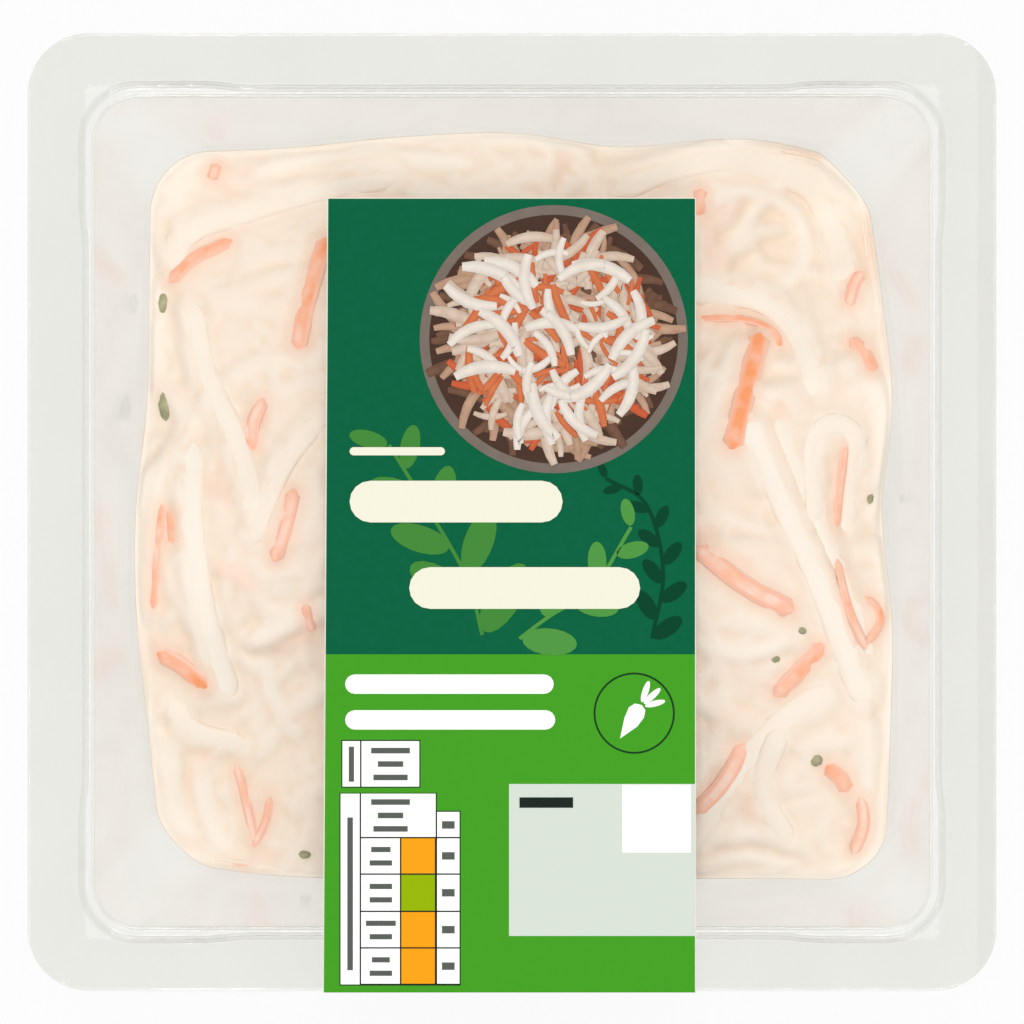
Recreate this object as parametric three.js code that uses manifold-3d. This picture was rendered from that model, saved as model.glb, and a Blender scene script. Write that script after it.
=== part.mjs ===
// A shut deli pack of coleslaw: a clear thermoformed tub, the heap of dressed shreds in it,
// the clear film welded over its rim, and the printed strip label that is stuck over the film
// and down the front wall. Millimetres, +Z up, origin in the middle of the standing plane,
// front at -Y.
import * as THREE from 'three';
import Module from 'manifold-3d';

const wasm = await Module();
wasm.setup();

// The tub's rim and mouth
const RIM_WIDTH = 130;
const RIM_DEPTH = 128.5;
const RIM_CORNER = 8.2;
const RIM_TOP = 45;
const RIM_THICKNESS = 0.6;
const MOUTH_WIDTH = 114.3;
const MOUTH_DEPTH = 113.6;
const MOUTH_CORNER = 6.7;
const MOUTH_BULGE = 0.5;
const MOUTH_DRAFT = 0.15;
const LEDGE_DROP = 1.4;
const LEDGE_WIDTH = 1.05;

// The tub's wall and foot
const WALL_THICKNESS = 0.5;
const WALL_DRAFT = THREE.MathUtils.degToRad(16);
const WALL_CORNER_TOP = 6;
const WALL_CORNER_FOOT = 10;
const FOOT_FILLET = 5;
const STANDING_RING_WIDTH = 3.3;
const PANEL_CORNER = 4;
const PANEL_RISE = 1.5;
const PANEL_SLOPE = THREE.MathUtils.degToRad(40);

// How finely the rounded square outlines are drawn
const CORNER_STEPS = 6;
const FILLET_STEPS = 3;
const SIDE_MARKS = [0.81, 0.71, -0.71, -0.81];

// The film and the label
const FILM_THICKNESS = 0.1;
const FILM_GAP = 0.05;
const LABEL_BACK = 42.2;
const LABEL_RIGHT = 24.7;
const LABEL_LEFT_BACK = 24.8;
const LABEL_LEFT_FRONT = 25.4;
const LABEL_THICKNESS = 0.15;
const LABEL_GAP = 0.08;
const LABEL_TOUCH_HEIGHT = 13;
const LABEL_END_HEIGHT = 5;

// The heap: a core that the shreds are laid on. Its contact heights are those of its edge
// against the wall, in even steps round from +X. Each sine is its turn for a millimetre in x
// and in y, and its phase.
const CORE_INSET = 1.6;
const HEAP_SIDE_MARKS = [0.8, 0.48, 0.16, -0.16, -0.48, -0.8];
const CONTACT_HEIGHTS = [
  25, 29, 24, 18, 27, 24, 29.5, 28, 23.5, 21.5, 22, 23,
  27.5, 27, 22, 18, 23.5, 24.5, 24, 25, 24.5, 25.5, 28, 29,
];
const CROWN_HEIGHT = 40;
const CROWN_WAVE = 0.4;
const CROWN_SINES = [[0.17, 0.14, 1], [0.17, -0.14, 1], [-0.08, 0.21, 0]];
const CORE_SCALES = [0.22, 0.42, 0.58, 0.71, 0.82, 0.91, 0.97];

// The shreds: their section and how those on top, at the wall and at the foot are spread
const SHRED_STEPS = 5;
const SHRED_THICKNESS = 1.8;
const SHRED_TOP_SHARE = 0.75;
const SHRED_END_SHARE = 0.55;
const SHRED_LIFT = 0.35;
const CABBAGE_WIDTH = 4.2;
const CARROT_WIDTH = 2.4;
const TOP_CELLS = 5;
const TOP_SPREAD = 88;
const TOP_STRAY = 4;
const TOP_HALF_LENGTHS = [9, 15];
const TOP_BOW = 8;
const TOP_WIDTHS = [2.2, 4];
const WALL_SHREDS = 26;
const WALL_SHRED_INSET = 1.75;
const WALL_SHRED_DROP = 2;
const WALL_REACHES = [0.03, 0.07];
const WALL_HEIGHTS = [7, 24];
const WALL_WIDTHS = [2.4, 4.2];
const FOOT_CELLS = 3;
const FOOT_SPREAD = 62;
const FOOT_GAP = 0.4;
const FOOT_HALF_LENGTHS = [7, 10];
const FOOT_BOW = 4;
const FOOT_WIDTHS = [2.6, 4.2];

// The seeded draw: its first state, factor, step and range
const DRAW_SEED = 20;
const DRAW_FACTOR = 1664525;
const DRAW_STEP = 1013904223;
const DRAW_RANGE = 4294967296;

// The longest cabbage shreds and the carrot sticks that lie on top, in plan: start, bend, end
const CABBAGE_SHREDS = [
  [[-46, 34], [-40, 43], [-17, 46]],
  [[-44, 29], [-42, 14], [-35, -1]],
  [[-25, 14], [-32, 6], [-35, -4]],
  [[-44, 10], [-45, -8], [-39, -26]],
  [[-47, -26], [-43, -31], [-36, -32]],
  [[14, 44], [46, 54], [45, 30]],
  [[17, 31], [41, 32], [42, 15]],
  [[32, 13], [37, 0], [47, -24]],
  [[43, -24], [31, -32], [24, -46]],
  [[46, 19], [48, 11], [46, 3]],
];
const CARROT_SHREDS = [
  [[-46, 31], [-43, 34], [-38, 37]],
  [[-25, 37], [-27, 31], [-29, 22]],
  [[-29, 3], [-30, -2], [-32, -7]],
  [[-48, -19], [-45, -21], [-41, -24]],
  [[34, 24], [31, 17], [29, 8]],
  [[25, -5], [31, -10], [38, -14]],
  [[41, -18], [39, -21], [36, -25]],
  [[31, -33], [29, -37], [25, -41]],
  [[46, 27], [47, 23], [49, 19]],
];

const ledgeHeight = RIM_TOP - LEDGE_DROP;
const footCentreHeight = WALL_THICKNESS + FOOT_FILLET;

// One rounded square outline, counterclockwise from +X, as a ring of points at one height.
// With a bulge its corners stand out from the middle stretches of its sides.
function ring({ halfX, halfY, radius, height, bulge = 0 }, sideMarks) {
  const points = [];
  for (let corner = 0; corner < 4; corner += 1) {
    const [along, across] = corner % 2 === 0 ? [halfX, halfY] : [halfY, halfX];
    const outline = [];
    for (let step = 0; step <= CORNER_STEPS; step += 1) {
      const angle = (step / CORNER_STEPS) * (Math.PI / 2);
      const x = along - radius + (radius + bulge) * Math.cos(angle);
      const y = across - radius + (radius + bulge) * Math.sin(angle);
      outline.push([x, y]);
    }
    for (const mark of sideMarks) {
      const isNearCorner = Math.abs(mark) === sideMarks[0];
      outline.push([mark * (along - radius), across + (isNearCorner ? bulge : 0)]);
    }
    const turn = (corner * Math.PI) / 2;
    for (const [x, y] of outline) {
      const turnedX = x * Math.cos(turn) - y * Math.sin(turn);
      const turnedY = x * Math.sin(turn) + y * Math.cos(turn);
      points.push(new THREE.Vector3(turnedX, turnedY, height));
    }
  }
  return points;
}

function tubRing(section) {
  return ring(section, SIDE_MARKS);
}

function heapRing(section) {
  return ring(section, HEAP_SIDE_MARKS);
}

// A closed surface from an upward centre point, over the rings in turn, to a closing centre.
function loft(start, rings, end) {
  const size = rings[0].length;
  const corners = [start, ...rings.flat(), end];
  const last = corners.length - 1;
  const lastRing = last - size;
  const triangles = [];
  for (let i = 0; i < size; i += 1) {
    const next = (i + 1) % size;
    triangles.push(0, 1 + i, 1 + next);
    triangles.push(last, lastRing + next, lastRing + i);
    for (let row = 0; row < rings.length - 1; row += 1) {
      const inner = 1 + row * size;
      const outer = inner + size;
      triangles.push(inner + i, outer + i, outer + next);
      triangles.push(inner + i, outer + next, inner + next);
    }
  }
  const geometry = new THREE.BufferGeometry().setFromPoints(corners);
  geometry.setIndex(triangles);
  return geometry;
}

// The tub's wall at a height, moved outwards from its inner face.
function wallSection(height, outwards) {
  const depth = ledgeHeight - height;
  const inwards = depth * Math.tan(WALL_DRAFT) - outwards / Math.cos(WALL_DRAFT);
  const cornerGrowth = (WALL_CORNER_FOOT - WALL_CORNER_TOP) / ledgeHeight;
  return {
    halfX: MOUTH_WIDTH / 2 - LEDGE_WIDTH - inwards,
    halfY: MOUTH_DEPTH / 2 - LEDGE_WIDTH - inwards,
    radius: WALL_CORNER_TOP + cornerGrowth * depth + outwards,
    height,
  };
}

// A section drawn in from another one, its corners with it, though never sharper than the
// panel's.
function drawnIn(section, inwards, height) {
  const radius = Math.max(section.radius - inwards, PANEL_CORNER);
  return { halfX: section.halfX - inwards, halfY: section.halfY - inwards, radius, height };
}

// The tub's foot from the middle out, moved outwards from its inner face: the raised panel's
// edge, the slope down to the standing ring, and the fillet that turns up into the wall.
function footSections(outwards) {
  const touchHeight = footCentreHeight - FOOT_FILLET * Math.sin(WALL_DRAFT);
  const contact = wallSection(touchHeight, 0);
  const centreInset = FOOT_FILLET * Math.cos(WALL_DRAFT);
  const filletRadius = FOOT_FILLET + outwards;
  const floorHeight = footCentreHeight - filletRadius;
  const cornerShift = outwards * Math.tan(PANEL_SLOPE / 2);
  const slopeFootInset = centreInset + STANDING_RING_WIDTH + cornerShift;
  const slopeTopInset = slopeFootInset + PANEL_RISE / Math.tan(PANEL_SLOPE);
  const sections = [
    drawnIn(contact, slopeTopInset, floorHeight + PANEL_RISE),
    drawnIn(contact, slopeFootInset, floorHeight),
  ];
  for (let step = 0; step <= FILLET_STEPS; step += 1) {
    const angle = THREE.MathUtils.lerp(-Math.PI / 2, -WALL_DRAFT, step / FILLET_STEPS);
    const inset = centreInset - filletRadius * Math.cos(angle);
    sections.push(drawnIn(contact, inset, footCentreHeight + filletRadius * Math.sin(angle)));
  }
  return sections;
}

// The mouth's step, the ledge under it and the flat rim, as sections of the tub's skin.
function mouthSections(outwards) {
  const mouth = {
    halfX: MOUTH_WIDTH / 2 + outwards,
    halfY: MOUTH_DEPTH / 2 + outwards,
    radius: MOUTH_CORNER + outwards,
  };
  const ledge = drawnIn(mouth, MOUTH_DRAFT, ledgeHeight - outwards);
  return [
    wallSection(ledgeHeight - outwards, outwards),
    { ...ledge, bulge: MOUTH_BULGE },
    { ...mouth, height: RIM_TOP - (outwards > 0 ? RIM_THICKNESS : 0), bulge: MOUTH_BULGE },
  ];
}

function makeTub() {
  const rim = { halfX: RIM_WIDTH / 2, halfY: RIM_DEPTH / 2, radius: RIM_CORNER };
  const sections = [
    ...footSections(0),
    ...mouthSections(0),
    { ...rim, height: RIM_TOP },
    { ...rim, height: RIM_TOP - RIM_THICKNESS },
    ...mouthSections(WALL_THICKNESS).reverse(),
    ...footSections(WALL_THICKNESS).reverse(),
  ];
  const insideMiddle = new THREE.Vector3(0, 0, PANEL_RISE + WALL_THICKNESS);
  const outsideMiddle = new THREE.Vector3(0, 0, PANEL_RISE);
  return loft(insideMiddle, sections.map(tubRing), outsideMiddle);
}

function makeFilm() {
  const edge = { halfX: RIM_WIDTH / 2, halfY: RIM_DEPTH / 2, radius: RIM_CORNER };
  const underside = RIM_TOP + FILM_GAP;
  const top = underside + FILM_THICKNESS;
  const rings = [tubRing({ ...edge, height: top }), tubRing({ ...edge, height: underside })];
  return loft(new THREE.Vector3(0, 0, top), rings, new THREE.Vector3(0, 0, underside));
}

// The label's path in the YZ plane, as points of its glued face, each with its outward angle:
// along the film, sharply round the rim's edge, straight down to the wall and along it.
function labelPath() {
  const filmTop = RIM_TOP + FILM_GAP + FILM_THICKNESS;
  const rimEdge = RIM_DEPTH / 2;
  const rimUnderside = RIM_TOP - RIM_THICKNESS;
  const wallFace = (height) => -wallSection(height, WALL_THICKNESS + LABEL_GAP).halfY;
  const touch = [wallFace(LABEL_TOUCH_HEIGHT), LABEL_TOUCH_HEIGHT];
  const end = [wallFace(LABEL_END_HEIGHT), LABEL_END_HEIGHT];
  const slant = Math.atan2(touch[0] + rimEdge, rimUnderside - touch[1]);
  const roundEdge = (height, angle) => {
    const y = -rimEdge + LABEL_GAP * Math.cos(angle);
    return { y, z: height + LABEL_GAP * Math.sin(angle), angle };
  };
  return [
    { y: LABEL_BACK, z: filmTop + LABEL_GAP, angle: Math.PI / 2 },
    { y: 0, z: filmTop + LABEL_GAP, angle: Math.PI / 2 },
    roundEdge(filmTop, Math.PI / 2),
    roundEdge(filmTop, (Math.PI * 3) / 4),
    roundEdge(filmTop, Math.PI),
    roundEdge(rimUnderside, Math.PI),
    roundEdge(rimUnderside, Math.PI + slant),
    { y: touch[0], z: touch[1], angle: Math.PI + (slant + WALL_DRAFT) / 2 },
    { y: end[0], z: end[1], angle: Math.PI + WALL_DRAFT },
  ];
}

function makeLabel() {
  const path = labelPath();
  const rings = path.map(({ y, z, angle }) => {
    const toFront = (LABEL_BACK - y) / (LABEL_BACK + RIM_DEPTH / 2);
    const left = -THREE.MathUtils.lerp(LABEL_LEFT_BACK, LABEL_LEFT_FRONT, toFront);
    const outerY = y + LABEL_THICKNESS * Math.cos(angle);
    const outerZ = z + LABEL_THICKNESS * Math.sin(angle);
    return [
      new THREE.Vector3(LABEL_RIGHT, y, z),
      new THREE.Vector3(left, y, z),
      new THREE.Vector3(left, outerY, outerZ),
      new THREE.Vector3(LABEL_RIGHT, outerY, outerZ),
    ];
  });
  return loft(middleOf(rings[0]), rings, middleOf(rings.at(-1)));
}

function middleOf(points) {
  const sum = points.reduce((total, point) => total.add(point), new THREE.Vector3());
  return sum.divideScalar(points.length);
}

// A seeded draw between two values, the same in every run.
let drawState = DRAW_SEED;
function draw([low, high]) {
  drawState = (drawState * DRAW_FACTOR + DRAW_STEP) % DRAW_RANGE;
  return low + (high - low) * (drawState / DRAW_RANGE);
}

function waves(sines, x, y) {
  const turns = sines.map(([perX, perY, phase]) => perX * x + perY * y + phase);
  return turns.reduce((total, turn) => total + Math.sin(turn), 0);
}

// How high the heap stands against the wall in a point's direction, on a smooth curve through
// the contact heights.
function contactHeight(x, y) {
  const count = CONTACT_HEIGHTS.length;
  const turn = Math.atan2(y, x) / (2 * Math.PI);
  const place = (turn < 0 ? turn + 1 : turn) * count;
  const step = Math.floor(place);
  const [before, start, end, after] = [-1, 0, 1, 2].map((shift) => {
    return CONTACT_HEIGHTS[(step + shift + count) % count];
  });
  const share = place - step;
  const bend = 2 * before - 5 * start + 4 * end - after;
  const twist = 3 * start - before - 3 * end + after;
  const climb = (end - before) * share + bend * share ** 2 + twist * share ** 3;
  return start + climb / 2;
}

// The core's upper surface: a low dome that meets the wall at its contact height.
function heapHeight(x, y) {
  const contact = contactHeight(x, y);
  const { halfX, halfY } = wallSection(contact, 0);
  const riseX = Math.max(0, 1 - (x / halfX) ** 2);
  const riseY = Math.max(0, 1 - (y / halfY) ** 2);
  const crown = CROWN_HEIGHT + CROWN_WAVE * waves(CROWN_SINES, x, y);
  return THREE.MathUtils.lerp(contact, crown, riseX * riseY);
}

// A point on the tub's inner wall, moved inwards: its share of the way round, at a height.
function wallPoint(around, height, inwards) {
  const outline = heapRing(wallSection(height, -inwards));
  outline.push(outline[0]);
  const steps = outline.slice(1).map((point, i) => point.distanceTo(outline[i]));
  let left = (around % 1) * steps.reduce((total, step) => total + step, 0);
  let side = 0;
  while (left > steps[side]) {
    left -= steps[side];
    side += 1;
  }
  return outline[side].clone().lerp(outline[side + 1], left / steps[side]);
}

function makeCore() {
  const rimLow = heapRing(wallSection(0, -CORE_INSET));
  const rimHigh = heapRing(wallSection(ledgeHeight, -CORE_INSET));
  const contactRing = rimLow.map((low, i) => {
    const share = contactHeight(low.x, low.y) / ledgeHeight;
    return low.clone().lerp(rimHigh[i], share);
  });
  const topRings = CORE_SCALES.map((scale) => contactRing.map(({ x, y }) => {
    const height = heapHeight(x * scale, y * scale);
    return new THREE.Vector3(x * scale, y * scale, height);
  }));
  const footRings = footSections(-CORE_INSET).reverse().map(heapRing);
  const top = new THREE.Vector3(0, 0, heapHeight(0, 0));
  const foot = new THREE.Vector3(0, 0, footRings.at(-1)[0].z);
  return loft(top, [...topRings, contactRing, ...footRings], foot);
}

// A four-sided strip along a path, tapered at both ends, its flat side facing outwards.
function makeShred(path, outwards, width) {
  const rings = path.map((point, i) => {
    const before = path[Math.max(0, i - 1)];
    const after = path[Math.min(path.length - 1, i + 1)];
    const along = after.clone().sub(before).normalize();
    const across = along.clone().cross(outwards[i]).normalize();
    const up = across.clone().cross(along).normalize();
    const isEnd = i === 0 || i === path.length - 1;
    const half = (isEnd ? SHRED_END_SHARE : 1) * (width / 2);
    const topHalf = half * SHRED_TOP_SHARE;
    const lower = up.clone().multiplyScalar(-SHRED_THICKNESS / 2);
    const upper = up.clone().multiplyScalar(SHRED_THICKNESS / 2);
    return [
      point.clone().addScaledVector(across, -half).add(lower),
      point.clone().addScaledVector(across, half).add(lower),
      point.clone().addScaledVector(across, topHalf).add(upper),
      point.clone().addScaledVector(across, -topHalf).add(upper),
    ];
  });
  return loft(middleOf(rings[0]), rings, middleOf(rings.at(-1)));
}

// A shred that lies on the heap, along a bend drawn in plan.
function topShred([start, bend, end], width) {
  const [first, middle, last] = [start, bend, end].map(([x, y]) => new THREE.Vector2(x, y));
  const curve = new THREE.QuadraticBezierCurve(first, middle, last);
  const path = curve.getPoints(SHRED_STEPS).map(({ x, y }) => {
    return new THREE.Vector3(x, y, heapHeight(x, y) + SHRED_LIFT);
  });
  const outwards = path.map(({ x, y }) => {
    const slopeX = heapHeight(x + 1, y) - heapHeight(x - 1, y);
    const slopeY = heapHeight(x, y + 1) - heapHeight(x, y - 1);
    return new THREE.Vector3(-slopeX / 2, -slopeY / 2, 1).normalize();
  });
  return makeShred(path, outwards, width);
}

// Shreds scattered over the crown, one for each cell of a grid, each with its own bend.
function scatteredTopShreds() {
  const cell = TOP_SPREAD / TOP_CELLS;
  const edge = TOP_SPREAD / 2;
  const limit = (value) => THREE.MathUtils.clamp(value, -edge, edge);
  const shreds = [];
  for (let i = 0; i < TOP_CELLS * TOP_CELLS; i += 1) {
    const x = ((i % TOP_CELLS) + 0.5) * cell - edge + draw([-TOP_STRAY, TOP_STRAY]);
    const y = (Math.floor(i / TOP_CELLS) + 0.5) * cell - edge + draw([-TOP_STRAY, TOP_STRAY]);
    const angle = draw([0, Math.PI]);
    const half = draw(TOP_HALF_LENGTHS);
    const bow = draw([-TOP_BOW, TOP_BOW]);
    const place = (along, across) => [
      limit(x + along * Math.cos(angle) - across * Math.sin(angle)),
      limit(y + along * Math.sin(angle) + across * Math.cos(angle)),
    ];
    const plan = [place(-half, 0), place(0, bow), place(half, 0)];
    shreds.push(topShred(plan, draw(TOP_WIDTHS)));
  }
  return shreds;
}

// Shreds that lie against the clear wall all the way round.
function wallShreds() {
  const shreds = [];
  for (let i = 0; i < WALL_SHREDS; i += 1) {
    const start = i / WALL_SHREDS;
    const reach = draw(WALL_REACHES);
    const startHeight = draw(WALL_HEIGHTS);
    const endHeight = draw(WALL_HEIGHTS);
    const path = [];
    const outwards = [];
    for (let step = 0; step <= SHRED_STEPS; step += 1) {
      const share = step / SHRED_STEPS;
      const around = start + reach * share;
      const { x, y } = wallPoint(around, 0, WALL_SHRED_INSET);
      const highest = contactHeight(x, y) - WALL_SHRED_DROP;
      const drawnHeight = THREE.MathUtils.lerp(startHeight, endHeight, share);
      const height = Math.min(drawnHeight, highest);
      const point = wallPoint(around, height, WALL_SHRED_INSET);
      const deeper = wallPoint(around, height, WALL_SHRED_INSET + 1);
      path.push(point);
      outwards.push(point.clone().sub(deeper).normalize());
    }
    shreds.push(makeShred(path, outwards, draw(WALL_WIDTHS)));
  }
  return shreds;
}

// Shreds that lie on the tub's raised panel, seen through the base.
function footShreds() {
  const height = PANEL_RISE + WALL_THICKNESS + FOOT_GAP + SHRED_THICKNESS / 2;
  const cell = FOOT_SPREAD / FOOT_CELLS;
  const down = new THREE.Vector3(0, 0, -1);
  const shreds = [];
  for (let i = 0; i < FOOT_CELLS * FOOT_CELLS; i += 1) {
    const x = ((i % FOOT_CELLS) + 0.5) * cell - FOOT_SPREAD / 2;
    const y = (Math.floor(i / FOOT_CELLS) + 0.5) * cell - FOOT_SPREAD / 2;
    const angle = draw([0, Math.PI]);
    const half = draw(FOOT_HALF_LENGTHS);
    const bow = draw([-FOOT_BOW, FOOT_BOW]);
    const path = [];
    for (let step = 0; step <= SHRED_STEPS; step += 1) {
      const along = THREE.MathUtils.lerp(-half, half, step / SHRED_STEPS);
      const across = bow * (1 - (along / half) ** 2);
      const pointX = x + along * Math.cos(angle) - across * Math.sin(angle);
      const pointY = y + along * Math.sin(angle) + across * Math.cos(angle);
      path.push(new THREE.Vector3(pointX, pointY, height));
    }
    shreds.push(makeShred(path, path.map(() => down), draw(FOOT_WIDTHS)));
  }
  return shreds;
}

function toSolid(geometry) {
  const { position } = geometry.attributes;
  const vertProperties = new Float32Array(position.array);
  const triVerts = new Uint32Array(geometry.index.array);
  return new wasm.Manifold(new wasm.Mesh({ numProp: 3, vertProperties, triVerts }));
}

function toGeometry(solid) {
  const { vertProperties, triVerts } = solid.getMesh();
  const geometry = new THREE.BufferGeometry();
  geometry.setAttribute('position', new THREE.BufferAttribute(vertProperties, 3));
  geometry.setIndex(new THREE.BufferAttribute(triVerts, 1));
  return geometry;
}

// The heap as one solid, its shreds fused to the core. Only the outer skin of its largest body
// is kept, which fills the hollows that the fusing shuts in.
function makeColeslaw() {
  const shreds = [
    ...CABBAGE_SHREDS.map((plan) => topShred(plan, CABBAGE_WIDTH)),
    ...CARROT_SHREDS.map((plan) => topShred(plan, CARROT_WIDTH)),
    ...scatteredTopShreds(),
    ...wallShreds(),
    ...footShreds(),
  ];
  const fused = shreds.reduce((heap, shred) => heap.add(toSolid(shred)), toSolid(makeCore()));
  const bodies = fused.decompose();
  bodies.sort((one, other) => other.volume() - one.volume());
  return toGeometry(bodies[0]);
}

function clearPlastic(opacity) {
  return new THREE.MeshStandardMaterial({
    color: '#e8e9e4', roughness: 0.12, metalness: 0, transparent: true, opacity,
  });
}

function dressedFood() {
  return new THREE.MeshStandardMaterial({ color: '#f3dfc9', roughness: 0.35, metalness: 0 });
}

function printedPaper() {
  return new THREE.MeshStandardMaterial({ color: '#0b6544', roughness: 0.5, metalness: 0 });
}

function named(name, geometry, material) {
  const mesh = new THREE.Mesh(geometry, material);
  mesh.name = name;
  return mesh;
}

const pack = new THREE.Group();
pack.add(named('tub', makeTub(), clearPlastic(0.35)));
pack.add(named('coleslaw', makeColeslaw(), dressedFood()));
pack.add(named('lid_film', makeFilm(), clearPlastic(0.2)));
pack.add(named('label', makeLabel(), printedPaper()));

export default pack;
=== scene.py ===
import math

import bpy
import numpy as np
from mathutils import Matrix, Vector


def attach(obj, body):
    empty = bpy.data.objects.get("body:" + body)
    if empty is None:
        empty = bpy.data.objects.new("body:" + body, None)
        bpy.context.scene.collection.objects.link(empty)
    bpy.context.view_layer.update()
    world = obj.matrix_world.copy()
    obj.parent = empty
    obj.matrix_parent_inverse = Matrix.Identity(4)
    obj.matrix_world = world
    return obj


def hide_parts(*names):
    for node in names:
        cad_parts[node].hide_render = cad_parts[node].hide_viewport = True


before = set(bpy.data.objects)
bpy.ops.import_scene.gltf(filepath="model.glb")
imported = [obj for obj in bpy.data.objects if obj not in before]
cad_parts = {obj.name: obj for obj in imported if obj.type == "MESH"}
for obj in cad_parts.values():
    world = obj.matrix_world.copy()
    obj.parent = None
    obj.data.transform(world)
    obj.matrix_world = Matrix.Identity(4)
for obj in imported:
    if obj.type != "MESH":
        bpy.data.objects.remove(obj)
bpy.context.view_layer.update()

# ---------------------------------------------------------------------------------------------
# The table top that the pack stands on, the lights, and the camera straight above it.
# The top is smooth matt white laminate in a light tent, so it reads almost as pure white.
# ---------------------------------------------------------------------------------------------
MM = 0.001
scene = bpy.context.scene
scene.view_settings.view_transform = "Standard"


def linear(hex_colour):
    """An sRGB hex colour as linear red, green, blue and a full alpha."""
    channels = [int(hex_colour[i:i + 2], 16) / 255 for i in (0, 2, 4)]
    straight = [c / 12.92 if c <= 0.04045 else ((c + 0.055) / 1.055) ** 2.4 for c in channels]
    return (*straight, 1.0)


def add(tree, kind, settings=None, links=None):
    """Adds a node: settings are its properties and unlinked inputs, links feed its inputs."""
    made = tree.nodes.new(kind)
    for key, value in (settings or {}).items():
        if isinstance(key, int) or key in made.inputs:
            made.inputs[key].default_value = value
        else:
            setattr(made, key, value)
    for key, source in (links or {}).items():
        tree.links.new(source, made.inputs[key])
    return made


def new_material(name):
    """An empty material and its tree."""
    material = bpy.data.materials.new(name)
    material.use_nodes = True
    tree = material.node_tree
    tree.nodes.clear()
    return material, tree


def finish_material(tree, shader):
    add(tree, "ShaderNodeOutputMaterial", links={"Surface": shader.outputs[0]})


def finish_satin(tree, colour, relief, strength, depth_mm, roughness, gloss):
    """Ends an opaque material: one body of a colour, with a fine relief that a pattern gives."""
    bump = add(tree, "ShaderNodeBump", {"Strength": strength, "Distance": depth_mm * MM},
               {"Height": relief.outputs["Fac"]})
    body = add(tree, "ShaderNodeBsdfPrincipled",
               {"Roughness": roughness, "Specular IOR Level": gloss},
               {"Base Color": colour.outputs[2], "Normal": bump.outputs["Normal"]})
    finish_material(tree, body)


def mesh_object(name, points, faces, materials, smooth=True, edges=()):
    """A mesh object at the origin from points in millimetres."""
    mesh = bpy.data.meshes.new(name)
    mesh.from_pydata((np.asarray(points) * MM).tolist(), list(edges), faces)
    mesh.polygons.foreach_set("use_smooth", [smooth] * len(mesh.polygons))
    for material in materials:
        mesh.materials.append(material)
    mesh.update()
    made = bpy.data.objects.new(name, mesh)
    scene.collection.objects.link(made)
    return made


TABLE_SIZE, TABLE_DROP, TABLE_GLOW = 3000, 0.05, 0.88
LAMINATE_GRAIN = 2.5
TENT_LIGHT = 0.7


def white_laminate():
    """Matt white laminate. It glows a little, as the even light of a light tent makes it."""
    material, tree = new_material("white_laminate")
    place = add(tree, "ShaderNodeTexCoord")
    grain = add(tree, "ShaderNodeTexNoise", {"Scale": 1000 / LAMINATE_GRAIN, "Detail": 2.0},
                {"Vector": place.outputs["Object"]})
    bump = add(tree, "ShaderNodeBump", {"Strength": 0.02, "Distance": 0.0001},
               {"Height": grain.outputs["Fac"]})
    top = add(tree, "ShaderNodeBsdfPrincipled",
              {"Base Color": linear("505050"), "Roughness": 0.8, "Specular IOR Level": 0.1,
               "Emission Color": linear("ffffff"), "Emission Strength": TABLE_GLOW},
              {"Normal": bump.outputs["Normal"]})
    finish_material(tree, top)
    return material


half_table = TABLE_SIZE / 2
table = mesh_object(
    "table_top",
    [(x, y, -TABLE_DROP) for x, y in ((-half_table, -half_table), (half_table, -half_table),
                                      (half_table, half_table), (-half_table, half_table))],
    [(0, 1, 2, 3)], [white_laminate()], smooth=False)

world = bpy.data.worlds.new("light_tent")
world.use_nodes = True
world.node_tree.nodes["Background"].inputs["Color"].default_value = linear("ffffff")
world.node_tree.nodes["Background"].inputs["Strength"].default_value = TENT_LIGHT
scene.world = world

AIM_HEIGHT, LAMP_HEIGHT = 0.02, 2.4
SOFTBOX_SIZE, SPARK_SIZE = 0.5, 0.05


def softbox(name, x, y, size, power):
    """A square area light at a place in metres, turned to the pack."""
    lamp = bpy.data.lights.new(name, "AREA")
    lamp.size = size
    lamp.energy = power
    box = bpy.data.objects.new(name, lamp)
    box.location = (x, y, LAMP_HEIGHT)
    to_pack = Vector((0, 0, AIM_HEIGHT)) - box.location
    box.rotation_euler = to_pack.to_track_quat("-Z", "Y").to_euler()
    scene.collection.objects.link(box)


softbox("softbox_back", 0.0, 0.62, SOFTBOX_SIZE, 12.5)
softbox("softbox_front", 0.06, -0.6, SOFTBOX_SIZE, 9.2)
softbox("softbox_left", -0.6, 0.0, SOFTBOX_SIZE, 5.2)
softbox("softbox_right", 0.6, 0.0, SOFTBOX_SIZE, 3.9)
softbox("spark_front_left", -0.154, -0.42, SPARK_SIZE, 2.0)

CAMERA_ABOVE_RIM = 0.9
FRAME_WIDTH = 0.1375
RIM_TOP = 45.0
camera_data = bpy.data.cameras.new("camera")
camera_data.lens = camera_data.sensor_width * CAMERA_ABOVE_RIM / FRAME_WIDTH
camera_data.clip_start = 0.01
camera = bpy.data.objects.new("camera", camera_data)
camera.location = (0, 0, RIM_TOP * MM + CAMERA_ABOVE_RIM)
scene.collection.objects.link(camera)
scene.camera = camera

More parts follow.
